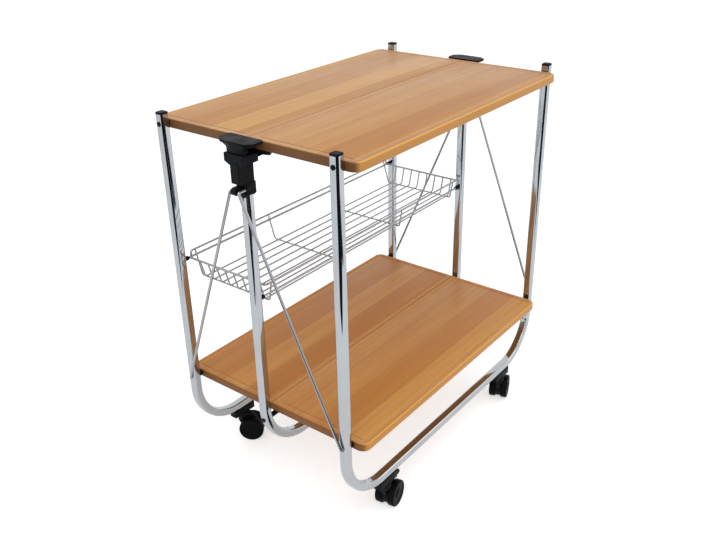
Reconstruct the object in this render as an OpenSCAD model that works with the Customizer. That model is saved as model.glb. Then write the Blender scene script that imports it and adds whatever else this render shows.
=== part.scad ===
// Folding serving trolley. Three bent tube frames carry an upper and a lower shelf, each in two
// halves, and a wire basket behind the middle frame. Length along X, front towards -Y, floor at z 0.
// The near end is -X. The frames stay upright while the shelf halves swing and bring them together.

/* [Frames] */
// Outside width of the square tube
tube_w = 16; // [14:0.5:18]
// Wall thickness of the tube
tube_wall = 1.5; // [1.2:0.1:2]
// Outside corner radius of the tube
tube_r = 3.5; // [2.5:0.1:4]
// Radius of the lower bends on the tube's centre line
bend_r = 95; // [70:1:120]
// Height of the middle frame's bottom run above the outer runs
run_step = 32; // [26:0.5:40]
// Height of the cut tops of the outer legs above the upper boards
leg_rise = 10; // [4:0.5:30]
// Depth of the cut tops of the middle legs below the top of the upper boards
middle_under = 8; // [6:0.5:10]
// Height of a leg cap above its tube
cap_h = 3.5; // [2:0.5:6]
// Depth of a leg cap's plug inside the tube
cap_plug = 12; // [8:1:20]

/* [Pivots] */
// Height of the upper pivots above the lower pivots
shelf_space = 486; // [440:1:540]
// Height of the lower pivots above the middle frame's bottom run
lower_rise = 72; // [64:0.5:76]
// Height of the basket's pivots above the lower pivots
basket_rise = 238; // [200:1:270]
// Height of every outer pivot above its middle pivot
pivot_rise = 20; // [16:0.5:22]
// Radius of a pivot pin
pin_r = 2.5; // [2:0.1:3]
// Radius of a pin's visible head
pin_head_r = 4.2; // [3:0.1:4.4]
// Thickness of a pin's visible head
pin_head_h = 1.2; // [0.8:0.1:2]
// Radial play of a pin in its bore
pin_fit = 0.05; // [0.03:0.01:0.1]
// Gap between flat faces that turn past each other
side_gap = 0.4; // [0.3:0.05:0.8]

/* [Shelves] */
// Thickness of the boards
board_t = 16; // [14:0.5:18]
// Distance from the upper pivots to the underside of the upper boards
upper_drop = 10; // [9:0.5:12]
// Distance from the lower pivots to the underside of the lower boards
lower_drop = 9.6; // [9:0.1:12]
// Half length of the upper boards
upper_half = 308; // [270:1:360]
// How much shorter a lower board is at each end
lower_set = 6; // [5:0.5:10]
// Gap between the upper boards' ends and the legs
board_gap = 2; // [1:0.1:4]
// Distance from the seam to a board's outer edge
board_reach = 207.5; // [195:0.5:230]
// How far a board reaches past the outer frame's centre line
board_over = 27.5; // [20:0.5:34]
// Gap between the two halves at the seam
seam = 1.2; // [0.8:0.1:3]
// Radius of a board's outer corners
corner_r = 16; // [8:1:24]
// Radius of a board's eased edges
ease_r = 3; // [1:0.5:5]
// Distance of the boards' decorative groove from the edge
groove_inset = 12; // [8:1:20]
// Width of the groove
groove_w = 1.6; // [1:0.1:3]
// Depth of the groove
groove_d = 0.8; // [0.4:0.1:1.5]
// Depth of a pivot pin inside a board's end
pin_depth = 18; // [10:1:30]
// Radius of the spacers beside the boards
spacer_r = 5.5; // [4:0.1:7]

/* [Hinge brackets] */
// Thickness of a bracket's upright plate
plate_t = 4.2; // [3:0.1:5]
// Radius of a bracket's eye
eye_r = 7; // [6:0.1:8]
// Length of a bracket across the seam direction
plate_len = 43; // [36:1:50]
// Width of the flange under the board
flange_w = 16; // [14:0.5:20]
// Thickness of the flange
flange_t = 2.5; // [2:0.1:3]
// Distance of the flange's inner end from the seam
flange_start = 11; // [9:0.5:13]
// Length of the flange
flange_len = 31; // [26:1:32]
// Distance of the first screw from the seam
screw_first = 18; // [16:0.5:20]
// Distance between a bracket's two screws
screw_pitch = 15.5; // [13:0.5:17]
// Distance of the screws inside the flange's centre line
screw_shift = 4.2; // [3:0.1:4.5]
// Radius of a screw shank
screw_r = 1.6; // [1.4:0.1:2]
// Radius of a screw head
screw_head_r = 3.2; // [2.8:0.1:3.6]
// Thickness of a screw head
screw_head_h = 1.8; // [1.2:0.1:2.2]
// Depth of a screw in the board
screw_depth = 9; // [6:0.5:11]
// Distance of a plate's inner face inside the flange's outer end
plate_set = 2.8; // [2:0.1:3.2]
// How far the lower brackets sit in from the boards' ends, clear of the middle frame's bend when folded
lower_bracket_in = 30; // [30:0.5:40]
// Radius of the spacers beside the lower brackets
centre_spacer_r = 4.5; // [3.5:0.1:6]

/* [Basket] */
// Distance from the basket's rim to the legs
basket_gap = 13; // [8:0.5:20]
// Radius of the rim and pivot wires
rim_r = 2; // [1.5:0.1:2.5]
// Radius of the thin wires
wire_r = 1.5; // [1.2:0.1:1.8]
// Number of lengthwise bottom wires
wire_count = 8; // [6:1:10]
// Distance of the first lengthwise wire from the middle frame
wire_start = 10; // [8:0.5:14]
// Distance of the last lengthwise wire from the cross wires' outer bend
wire_end = 12.5; // [8:0.5:20]
// Drop from the rim to the lengthwise wires
basket_depth = 33.5; // [24:0.5:60]
// Distance of the outer cross wires from the rim's ends
cross_set = 14; // [11:0.5:30]
// Distance of the inner cross wires from the middle
cross_in = 94; // [60:1:140]
// Distance of the cross wires' inner bend from the middle plane
cross_bend = 3.3; // [2:0.1:6]
// Lean of the basket's ends, from rim to bottom
end_lean = 9; // [4:1:16]
// Lean of the basket's outer side, from rim to bottom
side_lean = 14; // [8:1:22]
// Height of the second outer wire above the outer pivot wire
guard_rise = 11; // [8:0.5:16]
// Distance of the short posts from the basket's ends
post_inset = 4; // [3:0.5:10]
// Depth that crossing wires sink into each other at a weld
weld = 0.5; // [0.3:0.1:0.8]

/* [Braces and collars] */
// Radius of a brace
brace_r = 2.5; // [2:0.1:3]
// Gap between a brace's lower end and the leg
brace_gap = 0.8; // [0.5:0.1:2]
// Distance of a brace's upper end outside the collar
brace_top_out = 14.2; // [11:0.1:18]
// Gap between a brace and the boss
boss_gap = 1.5; // [1:0.1:4]
// Height of a brace's upper end above the collar's bottom
brace_seat = 10; // [8:0.5:12]
// Length of the end of a brace inside the outer leg
brace_hook = 6; // [4:0.5:7]
// Play of the collar on the tube
collar_fit = 0.3; // [0.2:0.05:0.5]
// Wall of the collar on the front and the rear side of the leg
collar_side = 2.7; // [2.2:0.1:4]
// Wall of the collar on the inner and the outer side of the leg
collar_wall = 3.5; // [3:0.1:4]
// Gap between the collar and the housing above it
collar_gap = 0.5; // [0.3:0.1:2]
// Height of the collar's body
collar_h = 19.5; // [16:0.5:19.5]
// Height of the tapered foot under the collar's body
collar_foot = 4; // [2:0.5:6]
// Half width of the foot's lower end
foot_half = 5; // [3:0.5:8]
// Half width of the boss between the braces
boss_half = 4.6; // [3.5:0.1:4.8]
// Distance of the boss's round end outside the collar
boss_out = 12.2; // [9:0.1:16]
// Radius of the boss's round end
boss_r = 6; // [4:0.1:7]

/* [Latch housings and grips] */
// Height of the housing
housing_h = 47; // [42:0.5:52]
// Height of the housing's head
head_h = 13; // [10:0.5:16]
// Gap between the housing and the upper boards
head_under = 3; // [2:0.1:5]
// Wall of the column on the front and the rear side of the leg
column_wall = 2.5; // [2:0.1:4]
// How far an ear of the head reaches out of the column
ear_out = 11.5; // [8:0.5:16]
// Thickness of the housing outside the tongue
housing_wall = 8.5; // [3:0.1:10]
// Wall of the housing beside the tongue, with the play
tongue_side = 2.5; // [2:0.1:4]
// Thickness of the tongue
tongue_t = 3.6; // [3:0.1:4]
// Height of the tongue's lower end above the housing's bottom
tongue_rise = 24; // [20:0.5:28]
// Distance of the tongue's slot from the leg
tongue_set = 0.3; // [0.3:0.1:1]
// Play around the tongue
tongue_fit = 0.3; // [0.2:0.05:0.5]
// Height of a grip above the upper boards
grip_rise = 2; // [1:0.1:6]
// Thickness of a grip's plate
grip_t = 4; // [3:0.5:5]
// Half width of a grip's plate
grip_half = 36; // [30:1:42]
// How far a grip reaches past its housing
grip_over = 2.5; // [1:0.1:5]
// Half width of the stem under the plate
stem_half = 18; // [12:1:25]
// Depth of the stem outside the tongue
stem_out = 6; // [1:0.5:7]
// Height of the slope under the head's ears
ear_rise = 6; // [3:0.5:10]

/* [Casters] */
// Distance of the swivel axes inside the start of the bends
caster_in = 14; // [8:0.5:40]
// Radius of a wheel
wheel_r = 25; // [22:0.5:27]
// Width of one wheel
wheel_w = 13.5; // [11:0.5:15]
// Half width of the hood between the wheels
web_half = 5; // [4.5:0.1:6]
// Gap between hood and wheel
wheel_gap = 0.5; // [0.4:0.1:1]
// Distance of the axle behind the swivel axis
trail = 18; // [14:0.5:20]
// Radius of an axle
axle_r = 2.5; // [2:0.1:3]
// Height from the top of the wheels to the saddle
caster_neck = 10; // [8:0.5:14]
// Length of a stem below the saddle
stem_len = 18; // [14:0.5:20]
// Thickness of a stem's riveted head
stem_head = 2; // [1.5:0.1:3]
// Radius of the socket round a stem
socket_r = 11; // [9:0.5:13]
// Distance of the hood's back from the swivel axis
hood_back = 9; // [7:0.5:11]
// Height of the hood's back
hood_fall = 20; // [14:0.5:24]
// Distance of the brake's pivot past the axle
brake_past = 7; // [5:0.5:9]
// Depth of the brake's pivot below the top of the hood
brake_fall = 5; // [4.5:0.1:6]
// Radius of the hood's tab round the brake's pivot
tab_r = 3.4; // [3:0.1:4]
// Half width of the tab
tab_half = 2.8; // [2:0.1:3]
// Radius of the brake's pin
brake_pin_r = 1.5; // [1.2:0.1:1.8]
// Length of a pedal from its pivot
pedal_len = 20; // [16:0.5:24]
// Half width of a pedal
pedal_half = 8; // [6.5:0.1:10]
// Cover over an axle's ends inside the wheels
hub_cover = 2.5; // [2:0.1:4]
// Radius of a wheel's rounded shoulders
shoulder_r = 2.5; // [1.5:0.1:4]
// Radius of a swivel stem
stem_r = 3; // [2.5:0.1:3.4]
// Half length of the saddle under the frame
saddle_half = 27; // [24:0.5:30]
// Half width of the saddle
saddle_w = 9; // [8:0.5:10]
// Height of the saddle
saddle_h = 14; // [12:0.5:16]
// Direction of the front near caster
turn_front_near = 10; // [0:1:20]
// Direction of the front far caster
turn_front_far = 19; // [0:1:30]
// Direction of the rear near caster
turn_rear_near = -55; // [-60:1:-40]
// Direction of the rear far caster
turn_rear_far = 12; // [0:1:30]

/* [Hidden] */
$fn = 64;
leg_in = upper_half + board_gap;
leg_x = leg_in + tube_w / 2;
leg_out = leg_x + tube_w / 2;
frame_gap = board_reach - board_over;
saddle_z = 2 * wheel_r + caster_neck;
run_under = saddle_z + saddle_h;
outer_run_z = run_under + tube_w / 2;
middle_run_z = outer_run_z + run_step;
lower_pivot_z = middle_run_z + lower_rise;
upper_pivot_z = lower_pivot_z + shelf_space;
basket_pivot_z = lower_pivot_z + basket_rise;
bore_r = pin_r + pin_fit;
upper_z = upper_pivot_z + upper_drop;
lower_z = lower_pivot_z + lower_drop;
board_top_z = upper_z + board_t;
leg_top_z = board_top_z + leg_rise;
middle_top_z = board_top_z - middle_under;
lower_half = upper_half - lower_set;
upper_outer_z = upper_pivot_z + pivot_rise;
lower_outer_z = lower_pivot_z + pivot_rise;
basket_outer_z = basket_pivot_z + pivot_rise;
inner_wire_y = -3;
corner_swell = 0.05;
bend_x = leg_x - bend_r;
caster_x = bend_x - caster_in;
low_pin_fall = middle_run_z + bend_r - lower_pivot_z;
low_leg_in = bend_x + sqrt(pow(bend_r - tube_w / 2, 2) - pow(low_pin_fall + centre_spacer_r, 2));
low_leg_out = bend_x + sqrt(pow(bend_r + tube_w / 2, 2) - pow(low_pin_fall - pin_head_r, 2));
lower_bracket_end = lower_half - lower_bracket_in;
plate_step = plate_t + side_gap;
basket_z = basket_outer_z - basket_depth;
guard_z = basket_outer_z + guard_rise;
pivot_wire_end = leg_in + 4;
basket_half = leg_in - basket_gap;
wire_pitch = (frame_gap - side_lean - wire_end - wire_start) / (wire_count - 1);
cross_out = basket_half - cross_set;
post_x = basket_half - post_inset;
side_rim_r = rim_r - 0.05;
collar_w = tube_w + 2 * (collar_fit + collar_wall);
collar_half = tube_w / 2 + collar_fit + collar_side;
collar_out = leg_x + collar_w / 2;
foot_w = collar_w - 2;
head_top_z = upper_z - head_under;
column_top_z = head_top_z - head_h;
housing_z = head_top_z - housing_h;
collar_z = housing_z - collar_gap - collar_h;
brace_top_z = collar_z + brace_seat;
brace_top_y = boss_half + boss_gap + brace_r;
boss_x = collar_out + boss_out;
brace_run = frame_gap - brace_top_y;
brace_rise = brace_top_z - lower_outer_z;
brace_len = sqrt(brace_run * brace_run + brace_rise * brace_rise);
column_half = tube_w / 2 + column_wall;
head_half = column_half + ear_out;
tongue_half = column_half - tongue_side;
tongue_z = housing_z + tongue_rise;
tongue_in = leg_out + tongue_set + tongue_fit;
tongue_out = tongue_in + tongue_t;
housing_x = tongue_out + tongue_fit + housing_wall;
grip_edge = housing_x + grip_over;
grip_top_z = board_top_z + grip_rise;
hood_top = saddle_z - side_gap;
brake_x = trail + brake_past;
brake_z = hood_top - brake_fall;

// Shared shapes

// A cylinder from x0 to x1 along X
module rod_x(x0, x1, r) {
    translate([min(x0, x1), 0, 0])
        rotate([0, 90, 0])
        cylinder(h = abs(x1 - x0), r = r);
}

// A rectangle with four rounded corners, centred
module rounded(w, h, r) {
    square([w, h - 2 * r], center = true);
    square([w - 2 * r, h], center = true);
    for (sx = [-1, 1], sy = [-1, 1])
        translate([sx * (w / 2 - r), sy * (h / 2 - r)])
            circle(r);
}

// Cross section of the hollow frame tube
module tube_section() {
    difference() {
        rounded(tube_w, tube_w, tube_r);
        rounded(tube_w - 2 * tube_wall, tube_w - 2 * tube_wall, tube_r - tube_wall);
    }
}

// One quarter bend, from a leg down to the bottom run, on the +X side
module quarter_bend() {
    mirror([0, 0, 1])
        rotate([90, 0, 0])
        rotate_extrude(angle = 90)
        translate([bend_r, 0])
        tube_section();
}

// A U-shaped frame in the XZ plane
module u_frame(run_z, top_z) {
    for (side = [0, 1]) mirror([side, 0, 0]) {
        translate([leg_x, 0, run_z + bend_r])
            linear_extrude(top_z - run_z - bend_r)
            tube_section();
        translate([leg_x - bend_r, 0, run_z + bend_r])
            quarter_bend();
    }
    translate([-(leg_x - bend_r), 0, run_z])
        rotate([0, 90, 0])
        linear_extrude(2 * (leg_x - bend_r))
        tube_section();
}

// Bores for pins in both legs, x0 to x1 measured from the middle
module leg_bores(z, x0, x1, r) {
    for (side = [0, 1]) mirror([side, 0, 0])
        translate([0, 0, z])
            rod_x(x0, x1, r);
}

// A round wire through four points in the XY plane; its middle run holds both corners
module bent_wire(pts, r) {
    for (ends = [[pts[0], pts[1]], [pts[3], pts[2]]])
        straight_wire(ends[0], ends[1], r, 0);
    straight_wire(pts[1], pts[2], r + corner_swell, r);
}

// A straight wire between two points, carried on by extra at both ends
module straight_wire(p, q, r, extra) {
    step = q - p;
    translate([p.x, p.y, 0])
        rotate([0, 90, atan2(step.y, step.x)])
        translate([0, 0, -extra])
        cylinder(h = norm(step) + 2 * extra, r = r);
}

// Frames

module middle_frame_tube() {
    color("silver") difference() {
        u_frame(middle_run_z, middle_top_z);
        leg_bores(upper_pivot_z, leg_in - 1, leg_out + 1, bore_r);
        leg_bores(lower_pivot_z, low_leg_in - 1, leg_out + 1, bore_r);
        leg_bores(basket_pivot_z, leg_in - 1, leg_x, rim_r + pin_fit);
    }
}

// An outer frame, drawn at its open place on the side given by dir
module outer_frame_tube(dir) {
    color("silver") translate([0, dir * frame_gap, 0]) difference() {
        u_frame(outer_run_z, leg_top_z);
        leg_bores(upper_outer_z, leg_in - 1, leg_out + 1, bore_r);
        leg_bores(lower_outer_z, leg_in - 1, leg_out + 1, bore_r);
        if (dir > 0)
            leg_bores(basket_outer_z, leg_in - 1, leg_x, rim_r + pin_fit);
        for (sx = [-1, 1])
            translate([sx * caster_x, 0, run_under - 1])
                cylinder(h = tube_wall + 2, r = stem_r + pin_fit);
    }
}

module leg_caps(dir) {
    inner_w = tube_w - 2 * tube_wall - 2 * pin_fit;
    color("black") for (sx = [-1, 1])
        translate([sx * leg_x, dir * frame_gap, 0]) {
            translate([0, 0, leg_top_z])
                linear_extrude(cap_h)
                rounded(tube_w, tube_w, tube_r);
            translate([0, 0, leg_top_z - cap_plug])
                linear_extrude(cap_plug)
                rounded(inner_w, inner_w, tube_r - tube_wall);
        }
}

// Pins that carry the shelf halves on the middle legs, with black heads on the lower pair
module centre_pins() {
    color("black") for (side = [0, 1]) mirror([side, 0, 0]) {
        translate([0, 0, upper_pivot_z])
            rod_x(upper_half - plate_set - plate_step - 1, leg_out - 0.1, pin_r);
        translate([0, 0, lower_pivot_z]) {
            rod_x(lower_bracket_end - plate_set - plate_step - 1, low_leg_out, pin_r);
            rod_x(low_leg_out, low_leg_out + pin_head_h, pin_head_r);
            rod_x(lower_bracket_end - plate_set + plate_step, low_leg_in - side_gap, centre_spacer_r);
        }
    }
}

// Shelves

// A half shelf with its seam edge at y 0 and its outer edge towards +Y, underside at z 0
module half_board(half, bracket_end, pin_z) {
    difference() {
        intersection() {
            linear_extrude(board_t)
                board_plan(half);
            rotate([90, 0, 90])
                translate([0, 0, -half])
                linear_extrude(2 * half)
                board_side();
            translate([0, board_reach + 1, board_t / 2])
                rotate([90, 0, 0])
                linear_extrude(board_reach + 2)
                rounded(2 * half, board_t, ease_r);
        }
        for (side = [0, 1]) mirror([side, 0, 0])
            translate([0, frame_gap, pin_z])
                rod_x(half - pin_depth, half + 1, bore_r);
        translate([0, 0, board_t - groove_d])
            groove_ring(half);
        bracket_places(bracket_end)
            bracket_screw_spots()
                translate([0, 0, -1])
                cylinder(h = screw_depth + 1.5, r = screw_r + pin_fit);
    }
}

// Plan of a half shelf with round outer corners
module board_plan(half) {
    depth = board_reach - seam / 2;
    translate([-half, seam / 2])
        square([2 * half, depth - corner_r]);
    translate([-half + corner_r, seam / 2])
        square([2 * half - 2 * corner_r, depth]);
    for (sx = [-1, 1])
        translate([sx * (half - corner_r), board_reach - corner_r])
            circle(corner_r);
}

// Section of a half shelf, eased at the outer edge and square at the seam
module board_side() {
    translate([0, 0])
        square([board_reach / 2, board_t]);
    translate([0, ease_r])
        square([board_reach, board_t - 2 * ease_r]);
    square([board_reach - ease_r, board_t]);
    for (z = [ease_r, board_t - ease_r])
        translate([board_reach - ease_r, z])
            circle(ease_r);
}

module groove_ring(half) {
    inset_x = 2 * (half - groove_inset);
    inset_y = board_reach - 2 * groove_inset;
    translate([0, board_reach / 2, 0])
        linear_extrude(groove_d + 1)
        difference() {
            square([inset_x, inset_y], center = true);
            square([inset_x - 2 * groove_w, inset_y - 2 * groove_w], center = true);
        }
}

// Places its children at the centre lines of both brackets' flanges, whose outer ends are at end
module bracket_places(end) {
    for (side = [0, 1]) mirror([side, 0, 0])
        translate([end - flange_w / 2, 0, 0])
            children();
}

// Places its children at the two screws of a bracket
module bracket_screw_spots() {
    for (y = [screw_first, screw_first + screw_pitch])
        translate([-screw_shift, y, 0])
            children();
}

// One hinge bracket; plate_x is the inner face of its upright plate, pivot at y 0 and z -drop
module bracket(end, plate_x, drop) {
    difference() {
        union() {
            translate([plate_x, 0, -drop])
                rotate([90, 0, 90])
                linear_extrude(plate_t)
                bracket_side(drop);
            translate([end - flange_w, flange_start, -flange_t])
                cube([flange_w, flange_len, flange_t]);
        }
        translate([0, 0, -drop])
            rod_x(plate_x - 1, plate_x + plate_t + 1, bore_r);
        translate([end - flange_w / 2, 0, 0])
            bracket_screw_spots()
                translate([0, 0, -flange_t - 1])
                cylinder(h = flange_t + 2, r = screw_r + pin_fit);
    }
}

// Outline of the upright plate, with the pivot at the origin
module bracket_side(drop) {
    circle(eye_r);
    polygon([
        [0, -eye_r], [plate_len * 0.35, -eye_r * 0.4], [plate_len * 0.6, drop * 0.3],
        [plate_len * 0.93, drop * 0.45], [plate_len, drop], [1, drop], [0, eye_r]
    ]);
}

// Both brackets of a half shelf; rear halves use the outer plate position
module brackets(end, dir, drop) {
    plate_x = end - plate_set - (dir > 0 ? 0 : plate_step);
    color("black") for (side = [0, 1]) mirror([side, 0, 0])
        bracket(end, plate_x, drop);
}

module bracket_screws(end) {
    color("gray") bracket_places(end)
        bracket_screw_spots() {
            translate([0, 0, -flange_t])
                cylinder(h = flange_t + screw_depth, r = screw_r);
            translate([0, 0, -flange_t - screw_head_h])
                cylinder(h = screw_head_h, r = screw_head_r);
        }
}

// Pins at the outer edge of a half shelf, with a spacer between board and leg
module outer_pins(half, through) {
    color("black") for (side = [0, 1]) mirror([side, 0, 0])
        translate([0, frame_gap, 0]) {
            rod_x(half - pin_depth + 1, through ? leg_out + side_gap : leg_x - 1, pin_r);
            rod_x(half, leg_in - side_gap, spacer_r);
            if (through)
                rod_x(leg_out + side_gap, leg_out + side_gap + pin_head_h, pin_head_r);
        }
}

// Puts a half shelf part at its level, turned round for the front halves
module shelf_place(z, dir) {
    translate([0, 0, z])
        mirror([0, dir > 0 ? 0 : 1, 0])
        children();
}

// Basket

// Lengthwise wire in the XZ plane, hung from both rim ends
module long_wire() {
    translate([0, 0, basket_z])
        rotate([90, 0, 0])
        bent_wire([
            [-basket_half, basket_depth], [-basket_half + end_lean, 0],
            [basket_half - end_lean, 0], [basket_half, basket_depth]
        ], wire_r);
}

// Cross wire in the YZ plane, under the lengthwise wires
module cross_wire() {
    low = basket_z - 2 * wire_r + weld;
    rotate([90, 0, 90])
        bent_wire([
            [frame_gap, guard_z], [frame_gap - side_lean, low],
            [cross_bend, low], [inner_wire_y, basket_outer_z]
        ], wire_r);
}

module basket_wires() {
    color("silver") {
        translate([0, 0, basket_pivot_z])
            rod_x(-pivot_wire_end, pivot_wire_end, rim_r);
        translate([0, frame_gap, basket_outer_z])
            rod_x(-pivot_wire_end, pivot_wire_end, rim_r);
        translate([0, inner_wire_y, basket_outer_z])
            rod_x(-basket_half - rim_r, basket_half + rim_r, rim_r);
        translate([0, frame_gap, guard_z])
            rod_x(-basket_half - rim_r, basket_half + rim_r, rim_r);
        for (x = [-post_x, post_x])
            translate([x, frame_gap, basket_outer_z])
                cylinder(h = guard_rise, r = wire_r);
        for (sx = [-1, 1])
            translate([sx * basket_half, inner_wire_y, basket_outer_z])
                rotate([-90, 0, 0])
                cylinder(h = frame_gap - inner_wire_y, r = side_rim_r);
        for (i = [0 : wire_count - 1])
            translate([0, wire_start + i * wire_pitch, 0])
                long_wire();
        for (x = [-cross_out, -cross_in, cross_in, cross_out])
            translate([x, 0, 0])
                cross_wire();
    }
}

// Black bushes between the basket's pivot wires and the legs
module basket_bushes() {
    color("black") for (side = [0, 1]) mirror([side, 0, 0])
        for (p = [[0, basket_pivot_z], [frame_gap, basket_outer_z]])
            translate([0, p.x, p.y])
                difference() {
                    rod_x(basket_half + rim_r + 1, leg_in - side_gap, rim_r * 2);
                    rod_x(basket_half, leg_in, rim_r);
                }
}

// Braces and collars

// A brace on the +X side behind the middle frame; its upper end stops just in front of the collar
module brace() {
    low_x = leg_out + brace_gap + brace_r;
    top_x = collar_out + brace_top_out;
    hook_x = leg_out - brace_hook;
    end_x = collar_out + side_gap;
    translate([0, frame_gap, lower_outer_z])
        rotate([atan2(brace_rise, -brace_run), 0, 0])
        bent_wire([[hook_x, 0], [low_x, 0], [top_x, brace_len], [end_x, brace_len]], brace_r);
}

module brace_at(dir, end) {
    color("silver")
        mirror([end > 0 ? 0 : 1, 0, 0])
        mirror([0, dir > 0 ? 0 : 1, 0])
        brace();
}

// Collar that slides on the middle leg, drawn on the +X side
module collar() {
    inner_w = tube_w + 2 * collar_fit;
    color("black") difference() {
        union() {
            translate([leg_x, 0, collar_z])
                linear_extrude(collar_h)
                rounded(collar_w, collar_half * 2, 3);
            translate([leg_x - foot_w / 2, 0, collar_z])
                rotate([90, 0, 90])
                linear_extrude(foot_w)
                polygon([
                    [-collar_half + 1, 0.5], [-foot_half, -collar_foot],
                    [foot_half, -collar_foot], [collar_half - 1, 0.5]
                ]);
            translate([leg_x + foot_w / 2, -boss_half, brace_top_z - boss_r])
                cube([boss_x - leg_x - foot_w / 2, boss_half * 2, boss_r * 2]);
            translate([boss_x, boss_half, brace_top_z])
                rotate([90, 0, 0])
                cylinder(h = boss_half * 2, r = boss_r);
        }
        translate([leg_x, 0, collar_z - collar_foot - 1])
            linear_extrude(collar_foot + collar_h + 2)
            rounded(inner_w, inner_w, tube_r + collar_fit);
    }
}

// Latch housings and grips

// Housing on the outside of the middle leg, drawn on the +X side
module latch_housing() {
    depth = housing_x - leg_in;
    color("black") difference() {
        union() {
            translate([leg_in + depth / 2, 0, housing_z])
                linear_extrude(column_top_z - housing_z)
                rounded(depth, column_half * 2, 2);
            translate([leg_in + 2, 0, 0])
                rotate([90, 0, 90])
                linear_extrude(depth - 2)
                head_side();
        }
        translate([leg_x, 0, housing_z - 1])
            linear_extrude(head_top_z - housing_z + 2)
            rounded(tube_w, tube_w, tube_r);
        translate([tongue_in - tongue_fit, -tongue_half - tongue_fit, tongue_z - 3])
            cube([tongue_t + 2 * tongue_fit, 2 * (tongue_half + tongue_fit), head_top_z - tongue_z + 4]);
    }
}

// Outline of the housing's head, seen along X, with ears that slope out of the column
module head_side() {
    polygon([
        [-column_half + 1, column_top_z - ear_rise], [column_half - 1, column_top_z - ear_rise],
        [head_half, column_top_z], [head_half, head_top_z],
        [-head_half, head_top_z], [-head_half, column_top_z]
    ]);
}

// Outline of a grip's plate, seen from above
module grip_outline() {
    polygon([
        [leg_in - 0.8, -grip_half + 3], [leg_in + 4, -grip_half], [grip_edge - 9, -grip_half],
        [grip_edge, -grip_half * 0.66], [grip_edge, grip_half * 0.66], [grip_edge - 9, grip_half],
        [leg_in + 4, grip_half], [leg_in - 0.8, grip_half - 3]
    ]);
}

// Release grip, drawn on the +X side: plate, tapered stem and a tongue in the housing
module grip() {
    plate_z = grip_top_z - grip_t;
    stem_z = head_top_z + 1.5;
    color("black") {
        translate([0, 0, plate_z])
            linear_extrude(grip_t)
            grip_outline();
        intersection() {
            translate([0, 0, stem_z])
                linear_extrude(plate_z - stem_z + 0.5)
                grip_outline();
            translate([tongue_in, 0, stem_z])
                rotate([90, 0, 90])
                linear_extrude(grip_edge - tongue_in)
                polygon([
                    [-stem_half, 0], [stem_half, 0], [stem_half, plate_z - stem_z - 8],
                    [grip_half - 1, plate_z - stem_z + 0.5], [1 - grip_half, plate_z - stem_z + 0.5],
                    [-stem_half, plate_z - stem_z - 8]
                ]);
            translate([0, grip_half, 0])
                rotate([90, 0, 0])
                linear_extrude(2 * grip_half)
                polygon([
                    [tongue_in, stem_z], [tongue_out + stem_out, stem_z],
                    [tongue_out + stem_out, plate_z - 9],
                    [grip_edge - 1, plate_z + 0.5], [tongue_in, plate_z + 0.5]
                ]);
        }
        translate([tongue_in, -tongue_half, tongue_z])
            cube([tongue_t, tongue_half * 2, stem_z - tongue_z + 0.5]);
    }
}

// Casters, drawn with the swivel axis at the origin and the axle towards +X

module caster_place(sx, sy, angle) {
    translate([sx * caster_x, sy * frame_gap, 0])
        rotate([0, 0, angle])
        children();
}

// Both saddles under the bottom run of one outer frame
module caster_saddles(dir) {
    color("black") for (sx = [-1, 1])
        translate([sx * caster_x, dir * frame_gap, saddle_z])
            difference() {
                linear_extrude(run_under - saddle_z)
                    rounded(saddle_half * 2, saddle_w * 2, 3);
                translate([0, 0, -1])
                    cylinder(h = run_under - saddle_z + 2, r = stem_r + pin_fit);
            }
}

// Swivel stems, riveted inside the run
module caster_stems(dir) {
    color("gray") for (sx = [-1, 1])
        translate([sx * caster_x, dir * frame_gap, 0]) {
            translate([0, 0, saddle_z - stem_len])
                cylinder(h = stem_len + saddle_h + tube_wall, r = stem_r);
            translate([0, 0, run_under + tube_wall])
                cylinder(h = stem_head, r = stem_r * 1.5);
        }
}

// Hood between the wheels, with the swivel socket and a tab for the brake
module hood(tab) {
    socket_z = wheel_r * 2 + 1;
    color("black") difference() {
        union() {
            translate([trail, web_half, wheel_r])
                rotate([90, 0, 0])
                cylinder(h = web_half * 2, r = wheel_r - 3);
            translate([0, web_half, 0])
                rotate([90, 0, 0])
                linear_extrude(web_half * 2)
                hood_side();
            translate([0, 0, socket_z])
                cylinder(h = hood_top - socket_z, r = socket_r);
            if (tab)
                translate([brake_x, tab_half, brake_z])
                    rotate([90, 0, 0])
                    cylinder(h = 2 * tab_half, r = tab_r);
        }
        translate([0, 0, saddle_z - stem_len - 1])
            cylinder(h = stem_len + 2, r = stem_r + pin_fit);
        translate([trail, web_half + 1, wheel_r])
            rotate([90, 0, 0])
            cylinder(h = web_half * 2 + 2, r = axle_r + pin_fit);
        if (tab)
            tab_cuts();
    }
}

// Outline of the hood's upper body, seen along the axle
module hood_side() {
    polygon([
        [-hood_back, hood_top], [-hood_back, hood_top - hood_fall],
        [6 - hood_back, wheel_r], [trail, wheel_r], [trail + 16, wheel_r + 12],
        [brake_x, brake_z], [trail, hood_top]
    ]);
}

// What is cut from the hood round its tab: the bore and the room for the pedal's cheeks
module tab_cuts() {
    translate([brake_x, tab_half + 1, brake_z])
        rotate([90, 0, 0])
        cylinder(h = 2 * tab_half + 2, r = brake_pin_r + pin_fit);
    for (side = [0, 1]) mirror([0, side, 0])
        translate([brake_x - tab_r - 1.1, tab_half + 0.2, brake_z - tab_r - 1.1])
            cube([16, web_half, 12]);
}

module axle() {
    half = web_half + wheel_gap + wheel_w - hub_cover;
    color("gray") translate([trail, half, wheel_r])
        rotate([90, 0, 0])
        cylinder(h = half * 2, r = axle_r);
}

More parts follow.
